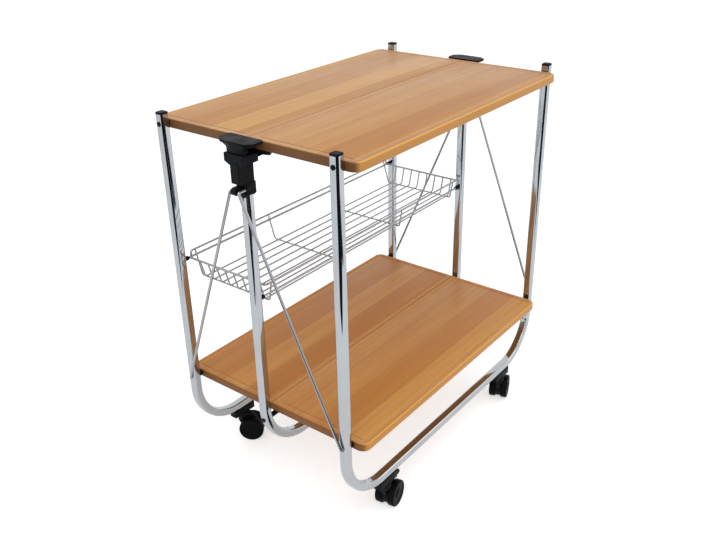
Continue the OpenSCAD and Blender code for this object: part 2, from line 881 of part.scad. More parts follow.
// A wheel on the side given by sy, with rounded shoulders and a dished outer face
module wheel(sy) {
    inner = web_half + wheel_gap;
    color("black") translate([trail, 0, wheel_r])
        mirror([0, sy > 0 ? 0 : 1, 0])
        translate([0, inner, 0])
        rotate([-90, 0, 0])
        difference() {
            rotate_extrude() {
                square([wheel_r - shoulder_r, wheel_w]);
                translate([0, shoulder_r])
                    square([wheel_r, wheel_w - 2 * shoulder_r]);
                for (z = [shoulder_r, wheel_w - shoulder_r])
                    translate([wheel_r - shoulder_r, z])
                        circle(shoulder_r);
            }
            translate([0, 0, -1])
                cylinder(h = wheel_w - hub_cover + 1.5, r = axle_r + pin_fit);
            translate([0, 0, wheel_w - 1])
                difference() {
                    cylinder(h = 2, r = wheel_r - 5);
                    translate([0, 0, -1])
                        cylinder(h = 4, r = wheel_r * 0.34);
                }
        }
}

// Brake pedal, hinged on the hood's tab
module brake() {
    slot = tab_half + side_gap;
    color("black") translate([0, pedal_half, 0]) rotate([90, 0, 0]) {
        difference() {
            linear_extrude(2 * pedal_half)
                brake_side();
            translate([brake_x - 6, brake_z - 6, pedal_half - slot])
                cube([11, 12, 2 * slot]);
        }
        translate([brake_x, brake_z, 0.5])
            cylinder(h = 2 * pedal_half - 1, r = brake_pin_r);
    }
}

// Outline of the pedal, with points as shares of its length
module brake_side() {
    translate([brake_x, brake_z]) {
        circle(3);
        polygon(pedal_len * [
            [-0.05, 0.15], [0.2, 0.18], [0.4, 0.375], [0.85, 0.275],
            [1, -0.05], [0.85, -0.16], [0.5, -0.075], [0, -0.15]
        ]);
    }
}

// Output

middle_frame_tube();
mirror([1, 0, 0]) latch_housing();  // latch_housing_near
latch_housing();  // latch_housing_far
centre_pins();
outer_frame_tube(1);  // rear_frame_tube
leg_caps(1);  // rear_leg_caps
caster_saddles(1);  // rear_caster_saddles
caster_stems(1);  // rear_caster_stems
outer_frame_tube(-1);  // front_frame_tube
leg_caps(-1);  // front_leg_caps
caster_saddles(-1);  // front_caster_saddles
caster_stems(-1);  // front_caster_stems
color("burlywood") shelf_place(upper_z, 1) half_board(upper_half, upper_half, upper_outer_z - upper_z);  // upper_rear_board
shelf_place(upper_z, 1) brackets(upper_half, 1, upper_drop);  // upper_rear_brackets
shelf_place(upper_z, 1) bracket_screws(upper_half);  // upper_rear_screws
shelf_place(upper_outer_z, 1) outer_pins(upper_half, true);  // upper_rear_pins
color("burlywood") shelf_place(upper_z, -1) half_board(upper_half, upper_half, upper_outer_z - upper_z);  // upper_front_board
shelf_place(upper_z, -1) brackets(upper_half, -1, upper_drop);  // upper_front_brackets
shelf_place(upper_z, -1) bracket_screws(upper_half);  // upper_front_screws
shelf_place(upper_outer_z, -1) outer_pins(upper_half, true);  // upper_front_pins
color("peru") shelf_place(lower_z, 1) half_board(lower_half, lower_bracket_end, lower_outer_z - lower_z);  // lower_rear_board
shelf_place(lower_z, 1) brackets(lower_bracket_end, 1, lower_drop);  // lower_rear_brackets
shelf_place(lower_z, 1) bracket_screws(lower_bracket_end);  // lower_rear_screws
shelf_place(lower_outer_z, 1) outer_pins(lower_half, false);  // lower_rear_pins
color("peru") shelf_place(lower_z, -1) half_board(lower_half, lower_bracket_end, lower_outer_z - lower_z);  // lower_front_board
shelf_place(lower_z, -1) brackets(lower_bracket_end, -1, lower_drop);  // lower_front_brackets
shelf_place(lower_z, -1) bracket_screws(lower_bracket_end);  // lower_front_screws
shelf_place(lower_outer_z, -1) outer_pins(lower_half, false);  // lower_front_pins
basket_wires();
basket_bushes();
mirror([1, 0, 0]) collar();  // collar_near
collar();  // collar_far
brace_at(1, -1);  // brace_rear_near
brace_at(1, 1);  // brace_rear_far
brace_at(-1, -1);  // brace_front_near
brace_at(-1, 1);  // brace_front_far
mirror([1, 0, 0]) grip();  // grip_near
grip();  // grip_far
caster_place(-1, -1, turn_front_near) hood(true);  // hood_front_near
caster_place(1, -1, turn_front_far) hood(false);  // hood_front_far
caster_place(-1, 1, turn_rear_near) hood(false);  // hood_rear_near
caster_place(1, 1, turn_rear_far) hood(true);  // hood_rear_far
caster_place(-1, -1, turn_front_near) axle();  // axle_front_near
caster_place(1, -1, turn_front_far) axle();  // axle_front_far
caster_place(-1, 1, turn_rear_near) axle();  // axle_rear_near
caster_place(1, 1, turn_rear_far) axle();  // axle_rear_far
caster_place(-1, -1, turn_front_near) wheel(-1);  // wheel_front_near_a
caster_place(-1, -1, turn_front_near) wheel(1);  // wheel_front_near_b
caster_place(1, -1, turn_front_far) wheel(-1);  // wheel_front_far_a
caster_place(1, -1, turn_front_far) wheel(1);  // wheel_front_far_b
caster_place(-1, 1, turn_rear_near) wheel(-1);  // wheel_rear_near_a
caster_place(-1, 1, turn_rear_near) wheel(1);  // wheel_rear_near_b
caster_place(1, 1, turn_rear_far) wheel(-1);  // wheel_rear_far_a
caster_place(1, 1, turn_rear_far) wheel(1);  // wheel_rear_far_b
caster_place(-1, -1, turn_front_near) brake();  // brake_front_near
caster_place(1, 1, turn_rear_far) brake();  // brake_rear_far
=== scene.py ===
"""Looks of a folding serving trolley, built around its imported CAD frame.

Sizes are in millimetres until a mesh is finished, and match the CAD solids that carry the pieces.
X runs along the length, the front is towards -Y, the floor is at height 0. "near" is the -X end.
"""

from __future__ import annotations

import logging
import math
from dataclasses import dataclass, field
from enum import Enum
from typing import Iterable, Sequence

import bmesh
import bpy
from mathutils import Matrix, Vector

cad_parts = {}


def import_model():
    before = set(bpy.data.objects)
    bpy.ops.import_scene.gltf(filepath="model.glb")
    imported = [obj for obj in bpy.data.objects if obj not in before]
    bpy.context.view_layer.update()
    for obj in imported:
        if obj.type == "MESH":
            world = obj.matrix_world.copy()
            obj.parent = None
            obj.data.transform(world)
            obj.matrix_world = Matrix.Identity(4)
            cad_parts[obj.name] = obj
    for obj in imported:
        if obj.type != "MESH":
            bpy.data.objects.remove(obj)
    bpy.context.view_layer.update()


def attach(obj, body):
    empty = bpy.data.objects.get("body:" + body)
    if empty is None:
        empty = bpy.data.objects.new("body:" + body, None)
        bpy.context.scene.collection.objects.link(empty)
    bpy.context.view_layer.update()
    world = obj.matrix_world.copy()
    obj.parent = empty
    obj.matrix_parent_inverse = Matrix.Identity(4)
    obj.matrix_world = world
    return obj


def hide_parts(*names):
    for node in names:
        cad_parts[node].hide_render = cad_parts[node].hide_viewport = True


LOG = logging.getLogger("trolley")
MM = 0.001
LEG_X = 318.0
FRAME_Y = 180.0
CASTER_X = 209.0
SADDLE_Z = 60.0
BUSH_END = 309.6
Ring = list[Vector]
Colour = tuple[float, float, float, float]
Flat = tuple[float, float]
Point = tuple[float, float, float]
Groups = dict[str, bpy.types.NodeTree]


class End(Enum):
    """The two short ends of the trolley."""

    NEAR = "near"
    FAR = "far"

    @property
    def sign(self) -> int:
        """Side of the middle along X."""
        return 1 if self is End.FAR else -1


class Side(Enum):
    """The two long sides of the trolley."""

    REAR = "rear"
    FRONT = "front"

    @property
    def sign(self) -> int:
        """Side of the middle along Y."""
        return 1 if self is Side.REAR else -1


class Level(Enum):
    """The two shelves."""

    UPPER = "upper"
    LOWER = "lower"


class Section(Enum):
    """Cross section that a path is swept with."""

    ROUND = "round"
    SQUARE = "square"


def srgb(red: int, green: int, blue: int) -> Colour:
    """Turns a display colour into a linear one.

    Args:
        red, green, blue: Display values from 0 to 255.

    Returns:
        The linear colour, opaque.
    """
    shares = [value / 255.0 for value in (red, green, blue)]
    linear = [s / 12.92 if s <= 0.04045 else ((s + 0.055) / 1.055) ** 2.4 for s in shares]
    return (*linear, 1.0)


def dimmed(colour: Colour, share: float) -> Colour:
    """The colour at a share of its brightness."""
    return (*(value * share for value in colour[:3]), 1.0)


def put_in_scene(name: str, data: bpy.types.ID) -> bpy.types.Object:
    """Makes an object and links it to the scene.

    Args:
        name: The object's name.
        data: Its mesh, lamp or camera.

    Returns:
        The object.
    """
    thing = bpy.data.objects.new(name, data)
    bpy.context.scene.collection.objects.link(thing)
    return thing


class NodeSketch:
    """Adds nodes to a tree and links them in one call."""

    def __init__(self, tree: bpy.types.NodeTree) -> None:
        """Keeps the tree that it fills."""
        self.tree = tree

    def add(self, kind: str, inputs: dict | None = None, **settings: object) -> bpy.types.Node:
        """Adds one node.

        Args:
            kind: Blender's name of the node type.
            inputs: Values or sockets by the input's name or place.
            settings: Properties of the node.

        Returns:
            The new node.
        """
        node = self.tree.nodes.new(kind)
        for name, value in settings.items():
            setattr(node, name, value)
        for key, value in (inputs or {}).items():
            if isinstance(value, bpy.types.NodeSocket):
                self.tree.links.new(value, node.inputs[key])
            else:
                node.inputs[key].default_value = value
        return node

    def feed(self, node: bpy.types.Node, values: dict[str, bpy.types.NodeSocket]) -> None:
        """Links sockets to a node's inputs by name."""
        for name, value in values.items():
            self.tree.links.new(value, node.inputs[name])

    def math(self, operation: str, first: object, second: object = 0.0) -> bpy.types.NodeSocket:
        """Result of one Math node."""
        return self.add("ShaderNodeMath", {0: first, 1: second}, operation=operation).outputs[0]

    def product(self, first: object, second: object) -> bpy.types.NodeSocket:
        """First times second."""
        return self.math("MULTIPLY", first, second)

    def total(self, first: object, second: object) -> bpy.types.NodeSocket:
        """First plus second."""
        return self.math("ADD", first, second)

    def remap(
        self, value: object, low: float, high: float, to_low: float = 0.0, to_high: float = 1.0
    ) -> bpy.types.NodeSocket:
        """Value moved from one range to another, held inside it."""
        places = {"Value": value, "From Min": low, "From Max": high, "To Min": to_low, "To Max": to_high}
        return self.add("ShaderNodeMapRange", places).outputs["Result"]

    def blend(self, amount: object, first: object, second: object, mode: str = "MIX") -> bpy.types.NodeSocket:
        """Two colours mixed by an amount."""
        places = {0: amount, 6: first, 7: second}
        return self.add("ShaderNodeMix", places, data_type="RGBA", blend_type=mode).outputs[2]


def new_group(
    name: str, numbers: dict[str, float], results: Sequence[str]
) -> tuple[NodeSketch, bpy.types.Node, bpy.types.Node]:
    """Starts a shader node group that is given a place.

    Args:
        name: The group's name.
        numbers: Default of each further input, all numbers, by its name.
        results: Names of the outputs, all numbers.

    Returns:
        The group's sketch, and its input and output nodes.
    """
    tree = bpy.data.node_groups.new(name, "ShaderNodeTree")
    tree.interface.new_socket("Vector", in_out="INPUT", socket_type="NodeSocketVector")
    for label, value in numbers.items():
        tree.interface.new_socket(label, in_out="INPUT", socket_type="NodeSocketFloat").default_value = value
    for label in results:
        tree.interface.new_socket(label, in_out="OUTPUT", socket_type="NodeSocketFloat")
    sketch = NodeSketch(tree)
    return sketch, sketch.add("NodeGroupInput"), sketch.add("NodeGroupOutput")


def plank_grain_group() -> bpy.types.NodeTree:
    """Makes wood glued from planks along X: tone of each plank, streaks, pores and glue lines.

    Returns:
        The shader node group.
    """
    results = ("Tone", "Streak", "Pore", "Joint", "Height")
    sketch, given, result = new_group("plank_grain", {"Plank Width": 0.07, "Seed": 0.0}, results)
    plank, seed = given.outputs["Plank Width"], given.outputs["Seed"]
    place = sketch.add("ShaderNodeSeparateXYZ", {0: given.outputs["Vector"]})
    across = sketch.total(sketch.math("DIVIDE", place.outputs[1], plank), seed)
    index = sketch.math("FLOOR", across)
    part = sketch.math("FRACT", across)
    shift = sketch.product(index, 3.71)

    def noise(along: float, over: float, **shape: float) -> bpy.types.NodeSocket:
        """Makes noise that is drawn out along the planks.

        Args:
            along: Changes to a metre along X.
            over: Changes to a metre across.
            shape: Other inputs of the noise.

        Returns:
            The noise's value.
        """
        x = sketch.total(sketch.product(place.outputs[0], along), shift)
        y = sketch.product(place.outputs[1], over)
        z = sketch.total(sketch.product(place.outputs[2], over), seed)
        vector = sketch.add("ShaderNodeCombineXYZ", {0: x, 1: y, 2: z}).outputs[0]
        return sketch.add("ShaderNodeTexNoise", {"Vector": vector, "Scale": 1.0, **shape}).outputs["Fac"]

    own = sketch.add("ShaderNodeTexWhiteNoise", {"W": sketch.total(index, seed)}, noise_dimensions="1D")
    slow = noise(1.6, 22.0, Detail=3.0, Distortion=0.6)
    streak = noise(3.0, 120.0, Detail=5.0, Roughness=0.62, Distortion=0.9)
    pores = sketch.remap(noise(60.0, 1500.0, Detail=2.0), 0.6, 0.72)
    edge = sketch.product(sketch.math("MINIMUM", part, sketch.math("SUBTRACT", 1.0, part)), plank)
    sketch.feed(result, {
        "Tone": sketch.total(sketch.product(own.outputs["Value"], 0.5), sketch.product(slow, 0.5)),
        "Streak": streak,
        "Pore": pores,
        "Joint": sketch.remap(edge, 0.0002, 0.0007, 1.0, 0.0),
        "Height": sketch.math("SUBTRACT", sketch.product(streak, 0.5), sketch.product(pores, 0.5)),
    })
    return sketch.tree


def handling_group() -> bpy.types.NodeTree:
    """Makes marks of use: broad smudges, fine speckle and a small relief.

    Returns:
        The shader node group.
    """
    sizes = {"Smudge Size": 0.06, "Speckle Size": 0.0008}
    sketch, given, result = new_group("handling", sizes, ("Smudge", "Speckle", "Height"))
    marks = []
    for size, detail in zip(sizes, (6.0, 2.0)):
        scale = sketch.math("DIVIDE", 1.0, given.outputs[size])
        inputs = {"Vector": given.outputs["Vector"], "Scale": scale, "Detail": detail}
        marks.append(sketch.add("ShaderNodeTexNoise", inputs).outputs["Fac"])
    smudge, speckle = sketch.remap(marks[0], 0.4, 0.68), marks[1]
    sketch.feed(result, {"Smudge": smudge, "Speckle": speckle, "Height": speckle})
    return sketch.tree


def bare_material(name: str) -> tuple[bpy.types.Material, NodeSketch]:
    """Makes a material with an empty node tree.

    Args:
        name: The material's name.

    Returns:
        The material and the sketch of its tree.
    """
    material = bpy.data.materials.new(name)
    material.use_nodes = True
    material.node_tree.nodes.clear()
    return material, NodeSketch(material.node_tree)


class Finish:
    """Base of the finishes: a node material with one Principled shader."""

    name: str

    def start(self) -> tuple[bpy.types.Material, NodeSketch, bpy.types.Node, bpy.types.NodeSocket]:
        """Makes the empty material.

        Returns:
            The material, its sketch, its shader and its object coordinates.
        """
        material, sketch = bare_material(self.name)
        shader = sketch.add("ShaderNodeBsdfPrincipled")
        sketch.add("ShaderNodeOutputMaterial", {"Surface": shader.outputs[0]})
        return material, sketch, shader, sketch.add("ShaderNodeTexCoord").outputs["Object"]

    def wear(self, sketch: NodeSketch, groups: Groups, inputs: dict[str, object]) -> bpy.types.Node:
        """Adds the marks of use, with the group's inputs by name."""
        return sketch.add("ShaderNodeGroup", inputs, node_tree=groups["handling"])

    def relief(
        self, sketch: NodeSketch, shader: bpy.types.Node, height: object, strength: float, depth: float
    ) -> None:
        """Feeds a height into the shader's normal."""
        bump = sketch.add("ShaderNodeBump", {"Strength": strength, "Distance": depth, "Height": height})
        sketch.feed(shader, {"Normal": bump.outputs[0]})

    def material(self, groups: Groups) -> bpy.types.Material:
        """Builds the material, in each finish's own way."""
        raise NotImplementedError


@dataclass(frozen=True)
class WoodFinish(Finish):
    """Lacquered wood glued from planks that run along X.

    Args:
        name: The material's name.
        dark, middle, light: Colours of the planks.
        ends: Colour that the end grain is drawn towards.
        edges: Colour of the long edges.
        rim_highlight: Colour of the painted highlight on the upward-facing rounded rim of the long edges.
        plank: Width of a plank in metres.
        seed: Where the pattern starts.
        stops: Tones of the dark, the middle and the light colour.
        groove_highlight: How far the colour is drawn to the light one, a painted highlight in the groove.
        pore_tint, joint_tint: What the pores and the glue lines multiply the colour by.
        edge_band: Where the long edges' colour starts and is full, in metres from the middle.
    """

    name: str
    dark: Colour
    middle: Colour
    light: Colour
    ends: Colour
    edges: Colour
    rim_highlight: Colour
    plank: float = 0.056
    seed: float = 0.3
    stops: Point = (0.24, 0.48, 0.72)
    groove_highlight: float = 0.0
    pore_tint: Colour = (0.35, 0.24, 0.16, 1.0)
    joint_tint: Colour = (0.4, 0.28, 0.2, 1.0)
    edge_band: Flat = (0.18, 0.19)

    def edged(self, sketch: NodeSketch, colour: object, place: object) -> bpy.types.NodeSocket:
        """Tints the long edges and the end grain, and paints a highlight on the long edges' upward-facing
        rounded rim.

        Args:
            sketch: The material's sketch.
            colour: Colour of the flat faces.
            place: Object coordinates.

        Returns:
            The tinted colour.
        """
        facing = sketch.add("ShaderNodeSeparateXYZ", {0: sketch.add("ShaderNodeTexCoord").outputs["Normal"]})
        spot = sketch.add("ShaderNodeSeparateXYZ", {0: place})
        outer = sketch.remap(sketch.math("ABSOLUTE", spot.outputs[1]), *self.edge_band)
        side = sketch.product(sketch.math("ABSOLUTE", facing.outputs[1]), outer)
        colour = sketch.blend(sketch.remap(side, 0.45, 0.9, 0.0, 0.65), colour, self.edges)
        # Painted highlight: strongest on the rounded rim where a long edge faces half out and half up.
        rim = sketch.product(sketch.product(side, facing.outputs[2]), 2.0)
        colour = sketch.blend(sketch.remap(rim, 0.3, 0.95, 0.0, 0.75), colour, self.rim_highlight)
        end = sketch.remap(sketch.math("ABSOLUTE", facing.outputs[0]), 0.4, 0.8, 0.0, 0.9)
        return sketch.blend(end, colour, self.ends)

    def material(self, groups: Groups) -> bpy.types.Material:
        """Builds the material.

        Args:
            groups: The shared shader groups by name.

        Returns:
            The material.
        """
        material, sketch, shader, place = self.start()
        given = {"Vector": place, "Plank Width": self.plank, "Seed": self.seed}
        grain = sketch.add("ShaderNodeGroup", given, node_tree=groups["plank_grain"]).outputs
        ramp = sketch.add("ShaderNodeValToRGB", {"Fac": grain["Tone"]})
        first, last = ramp.color_ramp.elements
        low, middle, high = self.stops
        first.position, first.color = low, self.dark
        last.position, last.color = high, self.light
        ramp.color_ramp.elements.new(middle).color = self.middle
        streaks = sketch.remap(grain["Streak"], 0.35, 0.68, 0.0, 0.5)
        colour = sketch.blend(streaks, ramp.outputs[0], self.dark)
        colour = sketch.blend(sketch.product(grain["Pore"], 0.22), colour, self.pore_tint, "MULTIPLY")
        colour = sketch.blend(sketch.product(grain["Joint"], 0.35), colour, self.joint_tint, "MULTIPLY")
        colour = self.edged(sketch, colour, place)
        # In the groove the colour is drawn towards the light one, a painted highlight.
        if self.groove_highlight:
            colour = sketch.blend(self.groove_highlight, colour, self.light)
        smudge = self.wear(sketch, groups, {"Vector": place}).outputs["Smudge"]
        clean = sketch.remap(grain["Streak"], 0.3, 0.7, 0.34, 0.42)
        rough = sketch.total(clean, sketch.product(smudge, 0.06))
        sketch.feed(shader, {"Base Color": colour, "Roughness": rough})
        shader.inputs["Specular IOR Level"].default_value = 0.22
        shader.inputs["Coat Weight"].default_value = 0.04
        shader.inputs["Coat Roughness"].default_value = 0.22
        self.relief(sketch, shader, grain["Height"], 0.12, 0.0004)
        return material


@dataclass(frozen=True)
class ChromeFinish(Finish):
    """Polished chrome plate with faint smudges.

    Args:
        name: The material's name.
        colour: Colour of the plate.
        polish: Lowest roughness.
        haze: Roughness that a smudge adds.
        metal: Share of the plate; less lets a thin wire keep an even grey.
    """

    name: str
    colour: Colour
    polish: float = 0.05
    haze: float = 0.07
    metal: float = 1.0

    def material(self, groups: Groups) -> bpy.types.Material:
        """Builds the material.

        Args:
            groups: The shared shader groups by name.

        Returns:
            The material.
        """
        material, sketch, shader, place = self.start()
        smudge = self.wear(sketch, groups, {"Vector": place, "Smudge Size": 0.035}).outputs["Smudge"]
        colour = sketch.blend(sketch.product(smudge, 0.5), self.colour, dimmed(self.colour, 0.9))
        rough = sketch.total(sketch.product(smudge, self.haze), self.polish)
        sketch.feed(shader, {"Base Color": colour, "Roughness": rough})
        shader.inputs["Metallic"].default_value = self.metal
        self.relief(sketch, shader, smudge, 0.03, 0.0004)
        return material


@dataclass(frozen=True)
class PlasticFinish(Finish):
    """Black moulded plastic with a fine grain.

    Args:
        name: The material's name.
        colour: Main colour.
        rubbed: Colour of the rubbed places.
        gloss: Roughness where it is clean.
        grain: Size of the mould's grain in metres.
        shine: Specular level.
    """

    name: str
    colour: Colour
    rubbed: Colour
    gloss: float = 0.38
    grain: float = 0.0007
    shine: float = 0.10

    def material(self, groups: Groups) -> bpy.types.Material:
        """Builds the material.

        Args:
            groups: The shared shader groups by name.

        Returns:
            The material.
        """
        material, sketch, shader, place = self.start()
        sizes = {"Vector": place, "Smudge Size": 0.018, "Speckle Size": self.grain}
        marks = self.wear(sketch, groups, sizes).outputs
        colour = sketch.blend(sketch.product(marks["Smudge"], 0.6), self.colour, self.rubbed)
        rough = sketch.total(sketch.product(marks["Smudge"], 0.14), self.gloss)
        sketch.feed(shader, {"Base Color": colour, "Roughness": rough})
        shader.inputs["Specular IOR Level"].default_value = self.shine
        self.relief(sketch, shader, marks["Height"], 0.25, 0.0001)
        return material


@dataclass(frozen=True)
class SteelFinish(Finish):
    """Zinc plated steel, dull and slightly blotched.

    Args:
        name: The material's name.
        colour: Colour of the plate.
    """

    name: str
    colour: Colour

    def material(self, groups: Groups) -> bpy.types.Material:
        """Builds the material.

        Args:
            groups: The shared shader groups by name.

        Returns:
            The material.
        """
        material, sketch, shader, place = self.start()
        marks = self.wear(sketch, groups, {"Vector": place, "Smudge Size": 0.006}).outputs
        colour = sketch.blend(marks["Smudge"], self.colour, dimmed(self.colour, 0.75))
        rough = sketch.remap(marks["Speckle"], 0.3, 0.7, 0.28, 0.42)
        sketch.feed(shader, {"Base Color": colour, "Roughness": rough})
        shader.inputs["Metallic"].default_value = 1.0
        self.relief(sketch, shader, marks["Height"], 0.1, 0.0001)
        return material


@dataclass
class Palette:
    """All finishes of the trolley, built once and found by name."""

    materials: dict[str, bpy.types.Material] = field(default_factory=dict)

    def build(self) -> None:
        """Makes the shared groups and every material."""
        groups = {"plank_grain": plank_grain_group(), "handling": handling_group()}
        shades = {
            "upper_wood": dict(
                dark=srgb(192, 135, 82), middle=srgb(210, 156, 98), light=srgb(222, 172, 110),
                ends=srgb(104, 66, 36), edges=srgb(216, 152, 72), rim_highlight=srgb(252, 190, 92), seed=0.42,
            ),
            # The lower shelf's wood colours are painted lighter to make up for the shade that the upper shelf
            # casts on it.
            "lower_wood": dict(
                dark=srgb(193, 126, 65), middle=srgb(208, 145, 79), light=srgb(219, 161, 91),
                ends=srgb(132, 84, 42), edges=srgb(214, 144, 66), rim_highlight=srgb(248, 182, 86), seed=14.84,
            ),
        }
        finishes: list[Finish] = [WoodFinish(name, **shade) for name, shade in shades.items()]
        # The groove materials are drawn towards the light colour, a painted highlight along the groove.
        finishes += [WoodFinish(name + "_groove", groove_highlight=0.3, **shade) for name, shade in shades.items()]
        black, rubbed = (0.0045, 0.005, 0.0065, 1.0), (0.009, 0.010, 0.013, 1.0)
        tyre, worn = (0.004, 0.004, 0.005, 1.0), (0.008, 0.008, 0.009, 1.0)
        finishes += [
            ChromeFinish("chrome_tube", (0.50, 0.52, 0.545, 1.0)),
            ChromeFinish("chrome_rod", (0.40, 0.41, 0.43, 1.0), polish=0.08, haze=0.08, metal=0.9),
            ChromeFinish("chrome_wire", (0.40, 0.41, 0.43, 1.0), polish=0.20, haze=0.10, metal=0.6),
            PlasticFinish("black_plastic", black, rubbed, gloss=0.42),
            PlasticFinish("wheel_plastic", tyre, worn, gloss=0.36, grain=0.0012, shine=0.05),
            SteelFinish("bright_steel", (0.55, 0.55, 0.56, 1.0)),
        ]
        for finish in finishes:
            self.materials[finish.name] = finish.material(groups)

    def __getitem__(self, name: str) -> bpy.types.Material:
        """The material of that name."""
        return self.materials[name]


def rounded_loop(half_x: float, half_y: float, radius: float, steps: int = 6) -> list[Flat]:
    """Draws a rectangle with round corners, counter-clockwise from the +X side.

    Args:
        half_x, half_y: Half of its width and of its depth.
        radius: Radius of the corners.
        steps: Steps round a corner.

    Returns:
        The points.
    """
    points = []
    for corner, (sx, sy) in enumerate(((1, 1), (-1, 1), (-1, -1), (1, -1))):
        for step in range(steps + 1):
            angle = math.pi / 2 * (corner + step / steps)
            x = sx * (half_x - radius) + radius * math.cos(angle)
            y = sy * (half_y - radius) + radius * math.sin(angle)
            points.append((x, y))
    return points


def box_rings(sizes: Iterable[tuple[float, float, float, float]]) -> list[Ring]:
    """Rounded rectangles by half width, half depth, corner radius and height."""
    return [[Vector((x, y, z)) for x, y in rounded_loop(hx, hy, r)] for hx, hy, r, z in sizes]


def round_rings(profile: Iterable[Flat], steps: int) -> list[Ring]:
    """Circles round Z by radius and height."""
    turns = [2 * math.pi * i / steps for i in range(steps)]
    return [[Vector((r * math.cos(t), r * math.sin(t), z)) for t in turns] for r, z in profile]


def arc(x: float, y: float, radius: float, angles: range) -> list[Flat]:
    """Points of a circle at angles in whole degrees."""
    return [(x + radius * math.cos(t), y + radius * math.sin(t)) for t in map(math.radians, angles)]


def pin_dome(start: float) -> list[Flat]:
    """Profile of a pin's domed head that starts at a height."""
    return [(r, start + h) for r, h in ((4.2, 0.0), (4.1, 0.5), (3.4, 0.95), (1.4, 1.2), (0, 1.2))]


class Solid:
    """One closed solid in millimetres."""

    def __init__(self) -> None:
        """Starts with no faces."""
        self.mesh = bmesh.new()

    def loft(self, rings: Sequence[Ring], closed: bool = False, materials: Sequence[int] = ()) -> "Solid":
        """Joins rings of equal length by quads.

        Args:
            rings: The rings in order.
            closed: Whether the last ring joins the first; otherwise both ends are filled.
            materials: Material place of each band, 0 where it is short.

        Returns:
            The solid itself.
        """
        loops = [[self.mesh.verts.new(point) for point in ring] for ring in rings]
        pairs = list(zip(loops, loops[1:] + loops[:1])) if closed else list(zip(loops, loops[1:]))
        for band, (low, high) in enumerate(pairs):
            for i in range(len(low)):
                j = (i + 1) % len(low)
                face = self.mesh.faces.new((low[i], low[j], high[j], high[i]))
                face.material_index = materials[band] if band < len(materials) else 0
        if not closed:
            self.mesh.faces.new(list(reversed(loops[0])))
            self.mesh.faces.new(loops[-1])
        return self

    def prism(self, outline: Sequence[Flat], low: float, high: float) -> "Solid":
        """Outline in XY carried from one height to another."""
        return self.loft([[Vector((x, y, z)) for x, y in outline] for z in (low, high)])

    def lathe(self, profile: Sequence[Flat], steps: int = 48) -> "Solid":
        """Turns a profile round Z.

        Args:
            profile: Radius and height of each point; radius 0 makes a pole.
            steps: Steps round the axis.

        Returns:
            The solid itself.
        """
        rings = []
        for radius, height in profile:
            if radius < 1e-6:
                rings.append([self.mesh.verts.new((0, 0, height))])
            else:
                circle = round_rings([(radius, height)], steps)[0]
                rings.append([self.mesh.verts.new(point) for point in circle])
        for low, high in zip(rings, rings[1:]):
            for i in range(steps):
                j = (i + 1) % steps
                if len(low) == 1:
                    self.mesh.faces.new((low[0], high[j], high[i]))
                elif len(high) == 1:
                    self.mesh.faces.new((low[i], low[j], high[0]))
                else:
                    self.mesh.faces.new((low[i], low[j], high[j], high[i]))
        return self

    def bevel(self, width: float, steps: int = 2, angle: float = 30.0) -> "Solid":
        """Rounds the sharp edges.

        Args:
            width: Reach of the rounding from an edge.
            steps: Steps of the rounding.
            angle: Angle between faces past which an edge is rounded, in degrees.

        Returns:
            The solid itself.
        """
        limit = math.radians(angle)
        edges = [e for e in self.mesh.edges if len(e.link_faces) == 2 and e.calc_face_angle(0.0) > limit]
        shape = dict(offset=width, segments=steps, profile=0.5, affect="EDGES", clamp_overlap=True)
        bmesh.ops.bevel(self.mesh, geom=edges, **shape)
        return self

    def move(self, matrix: Matrix) -> "Solid":
        """Puts the solid in its place."""
        bmesh.ops.transform(self.mesh, matrix=matrix, verts=self.mesh.verts)
        return self


# These turn a solid's height from Z to X, and from Z to -Y.
X_AXIS = Matrix(((0, 0, 1, 0), (1, 0, 0, 0), (0, 1, 0, 0), (0, 0, 0, 1)))
Y_AXIS = Matrix(((1, 0, 0, 0), (0, 0, -1, 0), (0, 1, 0, 0), (0, 0, 0, 1)))


def at(x: float, y: float, z: float) -> Matrix:
    """Shift by a distance."""
    return Matrix.Translation((x, y, z))


def flip(x: float = 1, y: float = 1) -> Matrix:
    """Mirror across the middle planes by signs."""
    return Matrix.Diagonal((x, y, 1, 1))


def mark_sharp(mesh: bmesh.types.BMesh, angle: float = 38.0) -> None:
    """Shades every face smooth and marks the sharp edges.

    Args:
        mesh: The mesh that is marked.
        angle: Angle between faces past which an edge is sharp, in degrees.
    """
    for face in mesh.faces:
        face.smooth = True
    for edge in mesh.edges:
        edge.smooth = len(edge.link_faces) == 2 and edge.calc_face_angle(0.0) < math.radians(angle)


